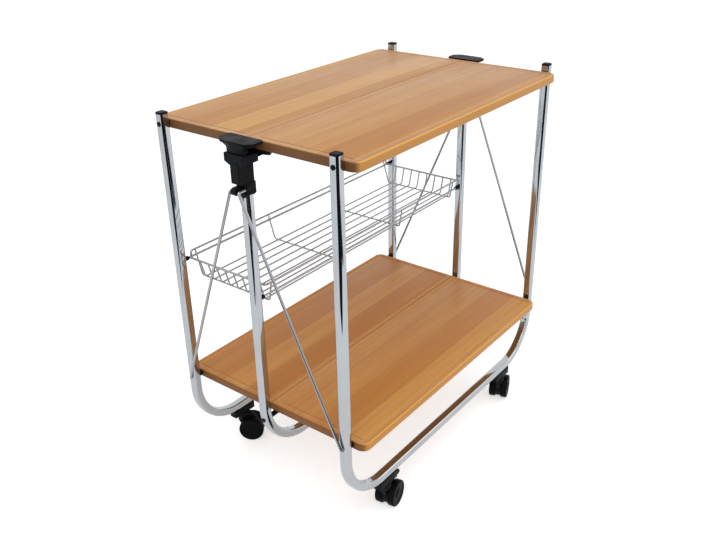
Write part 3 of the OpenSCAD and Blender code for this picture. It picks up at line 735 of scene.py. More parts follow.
class Piece:
    """One visible piece: solids joined in a mesh, with finishes and a body that it rides on."""

    def __init__(self, name: str, body: str, stands_for: Sequence[str], slot: str) -> None:
        """Starts with no solids.

        Args:
            name: The object's name.
            body: The CAD body that carries it.
            stands_for: CAD nodes that it replaces.
            slot: The record's material slot; it is kept but not used.
        """
        self.name, self.body, self.stands_for, self.slot = name, body, stands_for, slot
        self.mesh = bmesh.new()

    def add(self, solid: Solid, matrix: Matrix | None = None) -> "Piece":
        """Joins a solid.

        Args:
            solid: The solid in millimetres; it is used up.
            matrix: Where it goes.

        Returns:
            The piece itself.
        """
        if matrix is not None:
            solid.move(matrix)
        bmesh.ops.recalc_face_normals(solid.mesh, faces=solid.mesh.faces)
        part = bpy.data.meshes.new("part")
        solid.mesh.to_mesh(part)
        self.mesh.from_mesh(part)
        bpy.data.meshes.remove(part)
        solid.mesh.free()
        return self

    def join(self, mesh: bpy.types.Mesh) -> "Piece":
        """Joins a mesh that a node tree made.

        Args:
            mesh: The mesh in metres; it is used up.

        Returns:
            The piece itself.
        """
        solid = Solid()
        solid.mesh.from_mesh(mesh)
        bpy.data.meshes.remove(mesh)
        bmesh.ops.remove_doubles(solid.mesh, verts=solid.mesh.verts, dist=1e-6)
        bmesh.ops.scale(solid.mesh, vec=(1 / MM,) * 3, verts=solid.mesh.verts)
        return self.add(solid)

    def done(self, *materials: bpy.types.Material) -> bpy.types.Object:
        """Turns the joined mesh into an object on its body.

        Args:
            materials: Its finishes, in the order of the mesh's material places.

        Returns:
            The object.
        """
        bmesh.ops.scale(self.mesh, vec=(MM,) * 3, verts=self.mesh.verts)
        mark_sharp(self.mesh)
        mesh = bpy.data.meshes.new(self.name)
        self.mesh.to_mesh(mesh)
        self.mesh.free()
        for material in materials:
            mesh.materials.append(material)
        obj = put_in_scene(self.name, mesh)
        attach(obj, self.body)
        if self.stands_for:
            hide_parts(*self.stands_for)
        LOG.info("piece %s on %s, %d faces", self.name, self.body, len(mesh.polygons))
        return obj


def new_tree(name: str, inputs: dict[str, str]) -> tuple[NodeSketch, bpy.types.Node]:
    """Starts a Geometry Nodes tree with geometry in and out.

    Args:
        name: The tree's name.
        inputs: Kind of each further input, such as Float, by its name.

    Returns:
        The tree's sketch and its input node.
    """
    tree = bpy.data.node_groups.new(name, "GeometryNodeTree")
    for label, kind in {"Geometry": "Geometry", **inputs}.items():
        tree.interface.new_socket(label, in_out="INPUT", socket_type="NodeSocket" + kind)
    tree.interface.new_socket("Geometry", in_out="OUTPUT", socket_type="NodeSocketGeometry")
    sketch = NodeSketch(tree)
    return sketch, sketch.add("NodeGroupInput")


def end_tree(sketch: NodeSketch, given: bpy.types.Node, points: object, shape: object) -> None:
    """Ends a Geometry Nodes tree: the shape copied to points, made real and given its material.

    Args:
        sketch: The tree's sketch.
        given: Its input node.
        points: Geometry whose points get a copy.
        shape: Geometry that is copied.
    """
    copies = sketch.add("GeometryNodeInstanceOnPoints", {"Points": points, "Instance": shape})
    real = sketch.add("GeometryNodeRealizeInstances", {0: copies.outputs[0]})
    finish = {"Geometry": real.outputs[0], "Material": given.outputs["Material"]}
    sketch.add("NodeGroupOutput", {0: sketch.add("GeometryNodeSetMaterial", finish).outputs[0]})


class PathSweep:
    """Geometry Nodes tree that sweeps a section along a path, with round bends and copies."""

    def __init__(self, section: Section) -> None:
        """Builds the tree.

        Args:
            section: Whether the section is round or a rounded square.
        """
        kinds = {
            "Width": "Float", "Corner": "Float", "Bend": "Float", "Sides": "Int", "Bend Steps": "Int",
            "Copies": "Int", "Step": "Vector", "Material": "Material",
        }
        sketch, given = new_tree("sweep_" + section.value, kinds)
        self.tree = sketch.tree
        sizes = given.outputs
        path = sketch.add("GeometryNodeMeshToCurve", {0: sizes["Geometry"]})
        bends = {"Curve": path.outputs[0], "Radius": sizes["Bend"], "Count": sizes["Bend Steps"]}
        bent = sketch.add("GeometryNodeFilletCurve", bends, mode="POLY")
        if section is Section.ROUND:
            circle = {"Resolution": sizes["Sides"], "Radius": sketch.product(sizes["Width"], 0.5)}
            outline = sketch.add("GeometryNodeCurvePrimitiveCircle", circle)
        else:
            sides = {"Width": sizes["Width"], "Height": sizes["Width"]}
            square = sketch.add("GeometryNodeCurvePrimitiveQuadrilateral", sides)
            corners = {"Curve": square.outputs[0], "Radius": sizes["Corner"], "Count": sizes["Sides"]}
            outline = sketch.add("GeometryNodeFilletCurve", corners, mode="POLY")
        sweep = {"Curve": bent.outputs[0], "Profile Curve": outline.outputs[0], "Fill Caps": True}
        swept = sketch.add("GeometryNodeCurveToMesh", sweep)
        row = {"Count": sizes["Copies"], "Offset": sizes["Step"]}
        places = sketch.add("GeometryNodeMeshLine", row, mode="OFFSET")
        end_tree(sketch, given, places.outputs[0], swept.outputs[0])

    def run(self, paths: Iterable[Sequence[Point]], **sizes: object) -> bpy.types.Mesh:
        """Sweeps along paths given in millimetres.

        Args:
            paths: Corner points of each path.
            sizes: The tree's inputs by name, with underscores for blanks, in metres.

        Returns:
            The plain mesh, in metres.
        """
        mesh = bpy.data.meshes.new("path")
        points, edges = [], []
        for path in paths:
            start = len(points)
            points += [tuple(value * MM for value in point) for point in path]
            edges += [(start + i, start + i + 1) for i in range(len(path) - 1)]
        mesh.from_pydata(points, edges, [])
        plain = {"Corner": 0.0, "Copies": 1, "Step": (0.0, 0.0, 0.0)}
        return run_tree(self.tree, mesh, plain | sizes)


class CopySweep:
    """Geometry Nodes tree that puts a copy of a template on every point."""

    def __init__(self) -> None:
        """Builds the tree."""
        sketch, given = new_tree("copies_on_points", {"Template": "Object", "Material": "Material"})
        self.tree = sketch.tree
        template = sketch.add("GeometryNodeObjectInfo", {"Object": given.outputs["Template"]})
        end_tree(sketch, given, given.outputs["Geometry"], template.outputs["Geometry"])

    def run(self, solid: Solid, points: Sequence[Point], material: bpy.types.Material) -> bpy.types.Mesh:
        """Copies a solid to points.

        Args:
            solid: The solid in millimetres; it is used up.
            points: Places in millimetres.
            material: Finish of the copies.

        Returns:
            The plain mesh, in metres.
        """
        bmesh.ops.recalc_face_normals(solid.mesh, faces=solid.mesh.faces)
        bmesh.ops.scale(solid.mesh, vec=(MM,) * 3, verts=solid.mesh.verts)
        shape = bpy.data.meshes.new("template")
        solid.mesh.to_mesh(shape)
        solid.mesh.free()
        template = put_in_scene("template", shape)
        mesh = bpy.data.meshes.new("points")
        mesh.from_pydata([tuple(value * MM for value in point) for point in points], [], [])
        result = run_tree(self.tree, mesh, {"Template": template, "Material": material})
        bpy.data.objects.remove(template)
        return result


def run_tree(tree: bpy.types.NodeTree, mesh: bpy.types.Mesh, inputs: dict[str, object]) -> bpy.types.Mesh:
    """Runs a Geometry Nodes tree on a mesh.

    Args:
        tree: The node tree.
        mesh: What the tree starts from; it is removed.
        inputs: Values by the input's name, with underscores for blanks.

    Returns:
        The result as a plain mesh.
    """
    carrier = put_in_scene("carrier", mesh)
    modifier = carrier.modifiers.new("nodes", "NODES")
    modifier.node_group = tree
    names = {item.name: item.identifier for item in tree.interface.items_tree if item.in_out == "INPUT"}
    for name, value in inputs.items():
        modifier[names[name.replace("_", " ")]] = value
    carrier.update_tag()
    graph = bpy.context.evaluated_depsgraph_get()
    result = bpy.data.meshes.new_from_object(carrier.evaluated_get(graph))
    bpy.data.objects.remove(carrier)
    bpy.data.meshes.remove(mesh)
    return result


@dataclass
class Workshop:
    """What every sub-assembly is made with: the finishes and the node trees."""

    palette: Palette
    tube: PathSweep
    wire: PathSweep
    copies: CopySweep


@dataclass
class TubeFrame:
    """One bent chrome frame of rounded square tube.

    Args:
        shop: Finishes and node trees.
        body: The CAD body.
        y: Distance from the middle plane.
        run_z: Height of the bottom run's centre line.
        top_z: Height of the cut leg tops.
    """

    shop: Workshop
    body: str
    y: float
    run_z: float
    top_z: float
    width: float = 16.0
    corner: float = 3.5
    bend: float = 95.0

    def build(self) -> None:
        """Sweeps the tube along the frame's path."""
        x, y = LEG_X, self.y
        path = [(-x, y, self.top_z), (-x, y, self.run_z), (x, y, self.run_z), (x, y, self.top_z)]
        chrome = self.shop.palette["chrome_tube"]
        mesh = self.shop.tube.run(
            [path], Width=self.width * MM, Corner=self.corner * MM, Bend=self.bend * MM,
            Sides=6, Bend_Steps=28, Material=chrome,
        )
        piece = Piece(self.body + "_bent_tube", self.body, [self.body + "_tube"], "chrome_tube")
        piece.join(mesh).done(chrome)


@dataclass
class OuterFrameFittings:
    """Leg caps and caster saddles of one outer frame."""

    shop: Workshop
    side: Side
    leg_top: float = 708.0
    run_under: float = 74.0

    def piece(self, kind: str, node: str) -> Piece:
        """Starts a plastic piece on this frame."""
        side = self.side.value
        return Piece(side + kind, side + "_frame", [side + node], "black_plastic")

    def caps(self) -> None:
        """Makes the plug in the top of each leg, by half width, corner radius and height."""
        caps = self.piece("_moulded_caps", "_leg_caps")
        shape = (
            (6.3, 1.9, -12.0), (6.3, 1.9, 0.0), (7.9, 3.4, 0.0), (8.0, 3.5, 0.3),
            (8.0, 3.5, 2.2), (7.7, 3.3, 3.0), (6.9, 2.8, 3.4), (4.0, 1.6, 3.5),
        )
        for end in End:
            rings = box_rings((half, half, radius, z) for half, radius, z in shape)
            caps.add(Solid().loft(rings), at(end.sign * LEG_X, self.side.sign * FRAME_Y, self.leg_top))
        caps.done(self.shop.palette["black_plastic"])

    def saddles(self) -> None:
        """Makes the block over each caster, with its two ribs."""
        saddles = self.piece("_moulded_saddles", "_caster_saddles")
        for end in End:
            x, y = end.sign * CASTER_X, self.side.sign * FRAME_Y
            block = Solid().prism(rounded_loop(27, 9, 3, 5), SADDLE_Z, self.run_under).bevel(1.4, 3)
            saddles.add(block, at(x, y, 0))
            for offset in (-17.0, 17.0):
                rib = Solid().prism(rounded_loop(0.9, 8.4, 0.6, 3), SADDLE_Z + 1.2, self.run_under - 0.2)
                saddles.add(rib, at(x + offset, y, 0))
        saddles.done(self.shop.palette["black_plastic"])

    def build(self) -> None:
        """Makes the caps and the saddles."""
        self.caps()
        self.saddles()


@dataclass
class HalfShelf:
    """One half of a shelf with its brackets, screws and outer pins.

    Args:
        shop: Finishes and node trees.
        level: Which shelf.
        side: Which half.
        half: Half length of the board.
        bracket_end: Outer end of the brackets' flanges.
        under: Height of the board's underside.
        pivot: Height of its pivots on the middle frame.
        thick: Thickness of the board.
        reach: Distance of its free edge from the middle plane.
        seam: Gap between the two halves.
        corner: Radius of the free corners.
        ease, seam_ease: Rounding of the free edges and of the edge at the seam.
        groove: Inset, width and depth of the groove.
        flange: Half length of a bracket's flange.
        pin_end: Where the upper shelf's outer pins end, before their heads.
    """

    shop: Workshop
    level: Level
    side: Side
    half: float
    bracket_end: float
    under: float
    pivot: float
    thick: float = 16.0
    reach: float = 207.5
    seam: float = 1.2
    corner: float = 16.0
    ease: float = 3.0
    seam_ease: float = 0.4
    groove: Point = (12.0, 1.6, 0.8)
    flange: float = 8.0
    pin_end: float = 326.4

    def piece(self, kind: str, node: str, slot: str) -> Piece:
        """Starts a piece of this half shelf, named after its CAD node's beginning."""
        start = f"{self.level.value}_{self.side.value}_"
        return Piece(start + kind, start + "shelf", [start + node], slot)

    def plan(self, outer: float, inner: float, height: float) -> Ring:
        """Draws the board's outline, drawn in from its full size.

        Args:
            outer: How far the free edges are drawn in.
            inner: How far the edge at the seam is drawn in.
            height: Height over the underside.

        Returns:
            The outline.
        """
        points, steps = [], 8
        x, low, high = self.half - outer, self.seam / 2 + inner, self.reach - outer
        for corner, (cx, cy) in enumerate(((x, high), (-x, high), (-x, low), (x, low))):
            radius = max(self.corner - outer, 1.5) if corner < 2 else 1.2
            sx, sy = (1 if cx > 0 else -1), (1 if corner < 2 else -1)
            for step in range(steps + 1):
                angle = math.pi / 2 * (corner + step / steps)
                px = cx - sx * radius + radius * math.cos(angle)
                py = cy - sy * radius + radius * math.sin(angle)
                points.append(Vector((px, py, height)))
        return points

    def board(self) -> None:
        """Makes the board with its rounded edges and groove."""
        rings, steps = [], 5
        turns = [math.pi / 2 * step / steps for step in range(steps + 1)]
        for turn in turns:
            across, up = 1 - math.sin(turn), 1 - math.cos(turn)
            rings.append(self.plan(self.ease * across, self.seam_ease * across, self.ease * up))
        for turn in turns:
            across, down = 1 - math.cos(turn), 1 - math.sin(turn)
            height = self.thick - self.ease * down
            rings.append(self.plan(self.ease * across, self.seam_ease * across, height))
        inset, width, depth = self.groove
        far = inset + width
        marks = [
            (inset - 0.4, 0.0), (inset, 0.25), (inset + 0.25, depth),
            (far - 0.25, depth), (far, 0.25), (far + 0.4, 0.0),
        ]
        bands = [0] * len(rings) + [1] * (len(marks) - 1)
        rings += [self.plan(place, place, self.thick - drop) for place, drop in marks]
        wood = self.level.value + "_wood"
        slot = "light_wood" if self.level is Level.UPPER else "brown_wood"
        piece = self.piece("plank_board", "board", slot)
        piece.add(Solid().loft(rings, materials=bands), at(0, 0, self.under) @ flip(1, self.side.sign))
        piece.done(self.shop.palette[wood], self.shop.palette[wood + "_groove"])

    def brackets(self) -> None:
        """Makes both hinge brackets, each a plate with an eye and a flange."""
        drop = self.under - self.pivot
        plate_x = self.bracket_end - 2.8 - (0.0 if self.side is Side.REAR else 4.6)
        outline = arc(0, 0, 7, range(100, 281, 15)) + [
            (6.0, -6.0), (15.05, -2.8), (25.8, drop * 0.3), (40.0, drop * 0.45),
            (43.0, drop - 0.1), (2.0, drop - 0.1),
        ]
        piece = self.piece("moulded_brackets", "brackets", "black_plastic")
        for end in End:
            place = flip(end.sign, self.side.sign)
            plate = Solid().prism(outline, 0.0, 4.2).bevel(0.6, 2)
            piece.add(plate, place @ at(plate_x, 0, self.pivot) @ X_AXIS)
            flange = Solid().prism(rounded_loop(7.9, 15.4, 2.0, 4), -2.5, -0.02).bevel(0.5, 2, 60)
            piece.add(flange, place @ at(self.bracket_end - self.flange, 26.5, self.under))
            boss = Solid().lathe([(0, 0), (4.4, 0), (4.8, 0.3), (4.8, 0.8), (0, 0.8)], 32)
            piece.add(boss, place @ at(plate_x - 0.7, 0, self.pivot) @ X_AXIS)
        piece.done(self.shop.palette["black_plastic"])

    def screws(self) -> None:
        """Makes the cross-headed screws under the brackets by copying one."""
        plain = ((1.5, 9.0), (1.5, -2.4), (3.2, -2.5), (3.2, -3.1), (2.8, -3.9), (1.9, -4.3))
        rings, steps = [], 32
        for radius, height in plain + ((1.6, -4.3), (1.2, -3.3)):
            ring = []
            for i in range(steps):
                turn = 2 * math.pi * i / steps
                cross = 0.35 + 0.65 * abs(math.cos(2 * turn)) ** 3
                reach = radius if (radius, height) in plain else radius * cross
                ring.append(Vector((reach * math.cos(turn), -reach * math.sin(turn), height)))
            rings.append(ring)
        x, y = self.bracket_end - self.flange - 4.2, self.side.sign
        points = [(sign * x, y * row, self.under) for sign in (-1, 1) for row in (18.0, 33.5)]
        steel = self.shop.palette["bright_steel"]
        mesh = self.shop.copies.run(Solid().loft(rings), points, steel)
        self.piece("cross_screws", "screws", "bright_steel").join(mesh).done(steel)

    def pins(self) -> None:
        """Makes the outer pins with their spacers and domed heads."""
        piece = self.piece("domed_pins", "pins", "black_plastic")
        through = self.level is Level.UPPER
        reach = self.pin_end if through else LEG_X - 1
        half = self.half
        profile = [
            (0, half - 16), (2.5, half - 16), (2.5, half), (5.1, half), (5.5, half + 0.4),
            (5.5, BUSH_END - 0.4), (5.1, BUSH_END), (2.5, BUSH_END), (2.5, reach),
        ]
        profile += pin_dome(reach) if through else [(0, reach)]
        for end in End:
            place = flip(end.sign) @ at(0, self.side.sign * FRAME_Y, self.pivot + 20) @ X_AXIS
            piece.add(Solid().lathe(profile, 32), place)
        piece.done(self.shop.palette["black_plastic"])

    def build(self) -> None:
        """Makes the whole half shelf."""
        self.board()
        self.brackets()
        self.screws()
        self.pins()


@dataclass
class CentrePins:
    """Pins that carry the shelf halves on the middle legs."""

    shop: Workshop
    upper: Flat = (299.6, 672.0)
    lower: Flat = (263.6, 186.0)
    spacer: Flat = (273.8, 305.1)
    plain_end: float = 325.9
    head: float = 324.28

    def build(self) -> None:
        """Makes the four pins, the lower ones with domed heads."""
        piece = Piece("middle_domed_pins", "middle_frame", ["centre_pins"], "black_plastic")
        first, last = self.spacer
        for end in End:
            start, z = self.upper
            plain = [(0, start), (2.5, start), (2.5, self.plain_end), (0, self.plain_end)]
            piece.add(Solid().lathe(plain, 32), flip(end.sign) @ at(0, 0, z) @ X_AXIS)
            start, z = self.lower
            profile = [
                (0, start), (2.5, start), (2.5, first), (4.2, first), (4.5, first + 0.3),
                (4.5, last), (2.5, last), (2.5, self.head),
            ]
            headed = Solid().lathe(profile + pin_dome(self.head), 32)
            piece.add(headed, flip(end.sign) @ at(0, 0, z) @ X_AXIS)
        piece.done(self.shop.palette["black_plastic"])


@dataclass
class WireBasket:
    """The wire basket: rim, pivot wires, and bent lengthwise and cross wires."""

    shop: Workshop
    half: float = 297.0
    pivot_z: float = 424.0
    outer_z: float = 444.0
    guard_z: float = 455.0
    deep: float = 33.5
    lean: float = 9.0
    out_lean: float = 14.0
    first: float = 10.0
    pitch: float = 20.5
    count: int = 8
    cross: tuple[float, ...] = (-283.0, -94.0, 94.0, 283.0)
    inner_y: float = -3.0
    guard_x: float = 293.0
    wire_end: float = 314.0

    def sweep(
        self, paths: Sequence[Sequence[Point]], width: float, bend: float, copies: int = 1, step: float = 0.0
    ) -> bpy.types.Mesh:
        """Sweeps round wire along paths, in millimetres.

        Args:
            paths: Corner points of each path.
            width: Thickness of the wire.
            bend: Radius of the bends.
            copies: How many times the paths stand in a row across.
            step: Distance from one to the next.

        Returns:
            The plain mesh, in metres.
        """
        return self.shop.wire.run(
            paths, Width=width * MM, Bend=bend * MM, Sides=12, Bend_Steps=5,
            Copies=copies, Step=(0.0, step * MM, 0.0), Material=self.shop.palette["chrome_wire"],
        )

    def wires(self) -> None:
        """Makes all wires of the basket as one piece."""
        half, y, z = self.half, FRAME_Y, self.outer_z
        low, floor_x = z - self.deep, self.half - self.lean
        under, guard, ends = low - 2.5, self.guard_x, self.wire_end
        piece = Piece("basket_bent_wires", "basket", ["basket_wires"], "chrome_wire")
        run = [(-half, z), (-floor_x, low), (floor_x, low), (half, z)]
        lengthwise = [[(px, self.first, pz) for px, pz in run]]
        piece.join(self.sweep(lengthwise, 3.0, 5.0, self.count, self.pitch))
        across = [
            [(x, y, self.guard_z), (x, y - self.out_lean, under), (x, 3.3, under), (x, self.inner_y, z)]
            for x in self.cross
        ]
        piece.join(self.sweep(across, 3.0, 5.0))
        straight = [[(-ends, 0, self.pivot_z), (ends, 0, self.pivot_z)], [(-ends, y, z), (ends, y, z)]]
        piece.join(self.sweep(straight, 4.0, 0.0))
        rim = [[(-half, y, z), (-half, self.inner_y, z), (half, self.inner_y, z), (half, y, z)]]
        piece.join(self.sweep(rim, 3.9, 6.0))
        rail = [[(-guard, y, z), (-guard, y, self.guard_z), (guard, y, self.guard_z), (guard, y, z)]]
        piece.join(self.sweep(rail, 3.6, 4.0))
        piece.done(self.shop.palette["chrome_wire"])

    def bushes(self) -> None:
        """Makes the four bushes that the pivot wires turn in."""
        piece = Piece("basket_moulded_bushes", "basket", ["basket_bushes"], "black_plastic")
        start, stop = 300.0, BUSH_END
        profile = [
            (2.0, start), (3.6, start), (4.0, start + 0.4), (4.0, stop - 0.4), (3.6, stop), (2.0, stop),
        ]
        for end in End:
            for y, z in ((0.0, self.pivot_z), (FRAME_Y, self.outer_z)):
                bush = Solid().loft(round_rings(profile, 32), closed=True)
                piece.add(bush, flip(end.sign) @ at(0, y, z) @ X_AXIS)
        piece.done(self.shop.palette["black_plastic"])

    def build(self) -> None:
        """Makes the wires and the bushes."""
        self.wires()
        self.bushes()


@dataclass
class Brace:
    """One bent wire brace from an outer leg up to the collar."""

    shop: Workshop
    side: Side
    end: End
    low: Point = (329.3, 180.0, 206.0)
    top: Point = (344.0, 8.6, 622.0)
    hook_x: float = 320.0
    end_x: float = 330.3
    width: float = 5.0
    bend: float = 3.2

    def build(self) -> None:
        """Sweeps the brace with round bends at both ends."""
        sx, sy = self.end.sign, self.side.sign
        corners = [(self.hook_x, *self.low[1:]), self.low, self.top, (self.end_x, *self.top[1:])]
        path = [(sx * x, sy * y, z) for x, y, z in corners]
        chrome = self.shop.palette["chrome_rod"]
        mesh = self.shop.wire.run(
            [path], Width=self.width * MM, Bend=self.bend * MM, Sides=16, Bend_Steps=6, Material=chrome
        )
        name = f"brace_{self.side.value}_{self.end.value}"
        Piece(name + "_rod", name, [name], "chrome_tube").join(mesh).done(chrome)


@dataclass
class Collar:
    """Sliding collar on a middle leg, with a tapered foot and a round boss between the braces."""

    shop: Workshop
    end: End
    bottom: float = 612.0
    height: float = 19.5
    foot: float = 4.0
    bore: float = 8.3
    boss: Point = (24.0, 10.0, 6.0)
    root: float = 10.4

    def build(self) -> None:
        """Makes the ring-shaped body, the foot's tongues and the boss."""
        top, bore = self.height, self.bore
        sizes = [
            (11.2, 10.4, 2.7, 0.0), (11.7, 10.9, 3.0, 0.6), (11.8, 11.0, 3.0, 1.4), (11.8, 11.0, 3.0, 7.6),
            (11.5, 10.7, 2.9, 8.0), (11.5, 10.7, 2.9, 8.7), (11.8, 11.0, 3.0, 9.1),
            (11.8, 11.0, 3.0, top - 1.2), (11.5, 10.7, 2.9, top - 0.3), (10.9, 10.1, 2.8, top),
            (bore + 0.2, bore + 0.2, 3.7, top), (bore, bore, 3.6, top - 0.4), (bore, bore, 3.6, 0.0),
        ]
        name = "collar_" + self.end.value
        piece = Piece(name + "_slider", name, [name], "black_plastic")
        place = flip(self.end.sign) @ at(LEG_X, 0, self.bottom)
        piece.add(Solid().loft(box_rings(sizes), closed=True), place)
        foot = [(-9.4, 0.4), (-5.0, -self.foot), (5.0, -self.foot), (9.4, 0.4)]
        for inner in (bore + 0.1, -bore - 2.4):
            piece.add(Solid().prism(foot, inner, inner + 2.3).bevel(0.4, 2, 30), place @ X_AXIS)
        x, z, radius = self.boss
        boss = [(self.root, z - radius), (x, z - radius)]
        boss += arc(x, z, radius, range(-75, 76, 15))
        boss += [(x, z + radius), (self.root, z + radius)]
        piece.add(Solid().prism(boss, -4.6, 4.6).bevel(0.9, 2, 40), place @ Y_AXIS)
        hub = Solid().lathe([(0, -4.4), (2.6, -4.4), (2.6, 4.4), (0, 4.4)], 24)
        piece.add(hub, place @ at(x, 0, z) @ Y_AXIS)
        piece.done(self.shop.palette["black_plastic"])


@dataclass
class LatchHousing:
    """Housing of the fold latch at the top of a middle leg."""

    shop: Workshop
    end: End
    outer: float = 339.0
    inner: float = 310.0
    column: float = 10.5
    head: float = 22.0

    def build(self) -> None:
        """Makes the column with its eared head, a raised panel and two ribs."""
        column, head = self.column, self.head
        outline = [
            (-column, 632.0), (column, 632.0), (column, 660.4), (head, 666.2),
            (head, 679.0), (-head, 679.0), (-head, 666.2), (-column, 660.4),
        ]
        name = "latch_housing_" + self.end.value
        piece = Piece(name + "_shell", "middle_frame", [name], "black_plastic")
        place = flip(self.end.sign)
        piece.add(Solid().prism(outline, self.inner, self.outer - 0.8).bevel(1.1, 3), place @ X_AXIS)
        panel = [(-7.2, 636.0), (7.2, 636.0), (7.2, 662.0), (5.0, 665.0), (-5.0, 665.0), (-7.2, 662.0)]
        piece.add(Solid().prism(panel, self.outer - 2.0, self.outer).bevel(0.7, 2), place @ X_AXIS)
        for y in (-17.0, 17.0):
            rib = Solid().prism(rounded_loop(0.8, 4.2, 0.5, 3), 0.0, 1.0)
            piece.add(rib, place @ at(self.outer - 1.2, y, 673.2) @ X_AXIS)
        piece.done(self.shop.palette["black_plastic"])


@dataclass
class ReleaseGrip:
    """Grip plate over a latch housing, lifted to fold the trolley."""

    shop: Workshop
    end: End
    top: float = 700.0
    thick: float = 4.0
    edge: float = 341.5
    inner: float = 309.2
    stem: float = 18.0
    stem_back: float = 326.7
    tongue: float = 8.0

    def build(self) -> None:
        """Makes the plate, the flared stem and the tongue."""
        outline = [
            (self.inner, -33.0), (314.0, -36.0), (332.5, -36.0), (self.edge, -23.8),
            (self.edge, 23.8), (332.5, 36.0), (314.0, 36.0), (self.inner, 33.0),
        ]
        name = "grip_" + self.end.value
        piece = Piece(name + "_plate", name, [name], "black_plastic")
        place = flip(self.end.sign)
        piece.add(Solid().prism(outline, self.top - self.thick, self.top).bevel(1.2, 3), place)
        shape = (
            (self.stem, 336.2, 1.0, 680.6), (self.stem, 336.2, 1.0, 687.4),
            (21.5, 337.6, 3.0, 690.6), (34.9, 340.4, 8.0, 696.4),
        )
        rings, back = [], self.stem_back
        for half, out, cut, z in shape:
            cut_y = cut * 1.45
            right = [(back, -half), (out - cut, -half), (out, cut_y - half)]
            left = [(out, half - cut_y), (out - cut, half), (back, half)]
            rings.append([Vector((x, y, z)) for x, y in right + left])
        piece.add(Solid().loft(rings).bevel(0.8, 2, 20), place)
        tongue = self.tongue
        strip = [(326.6, -tongue), (330.2, -tongue), (330.2, tongue), (326.6, tongue)]
        piece.add(Solid().prism(strip, 656.0, 681.0).bevel(0.5, 2), place)
        piece.done(self.shop.palette["black_plastic"])


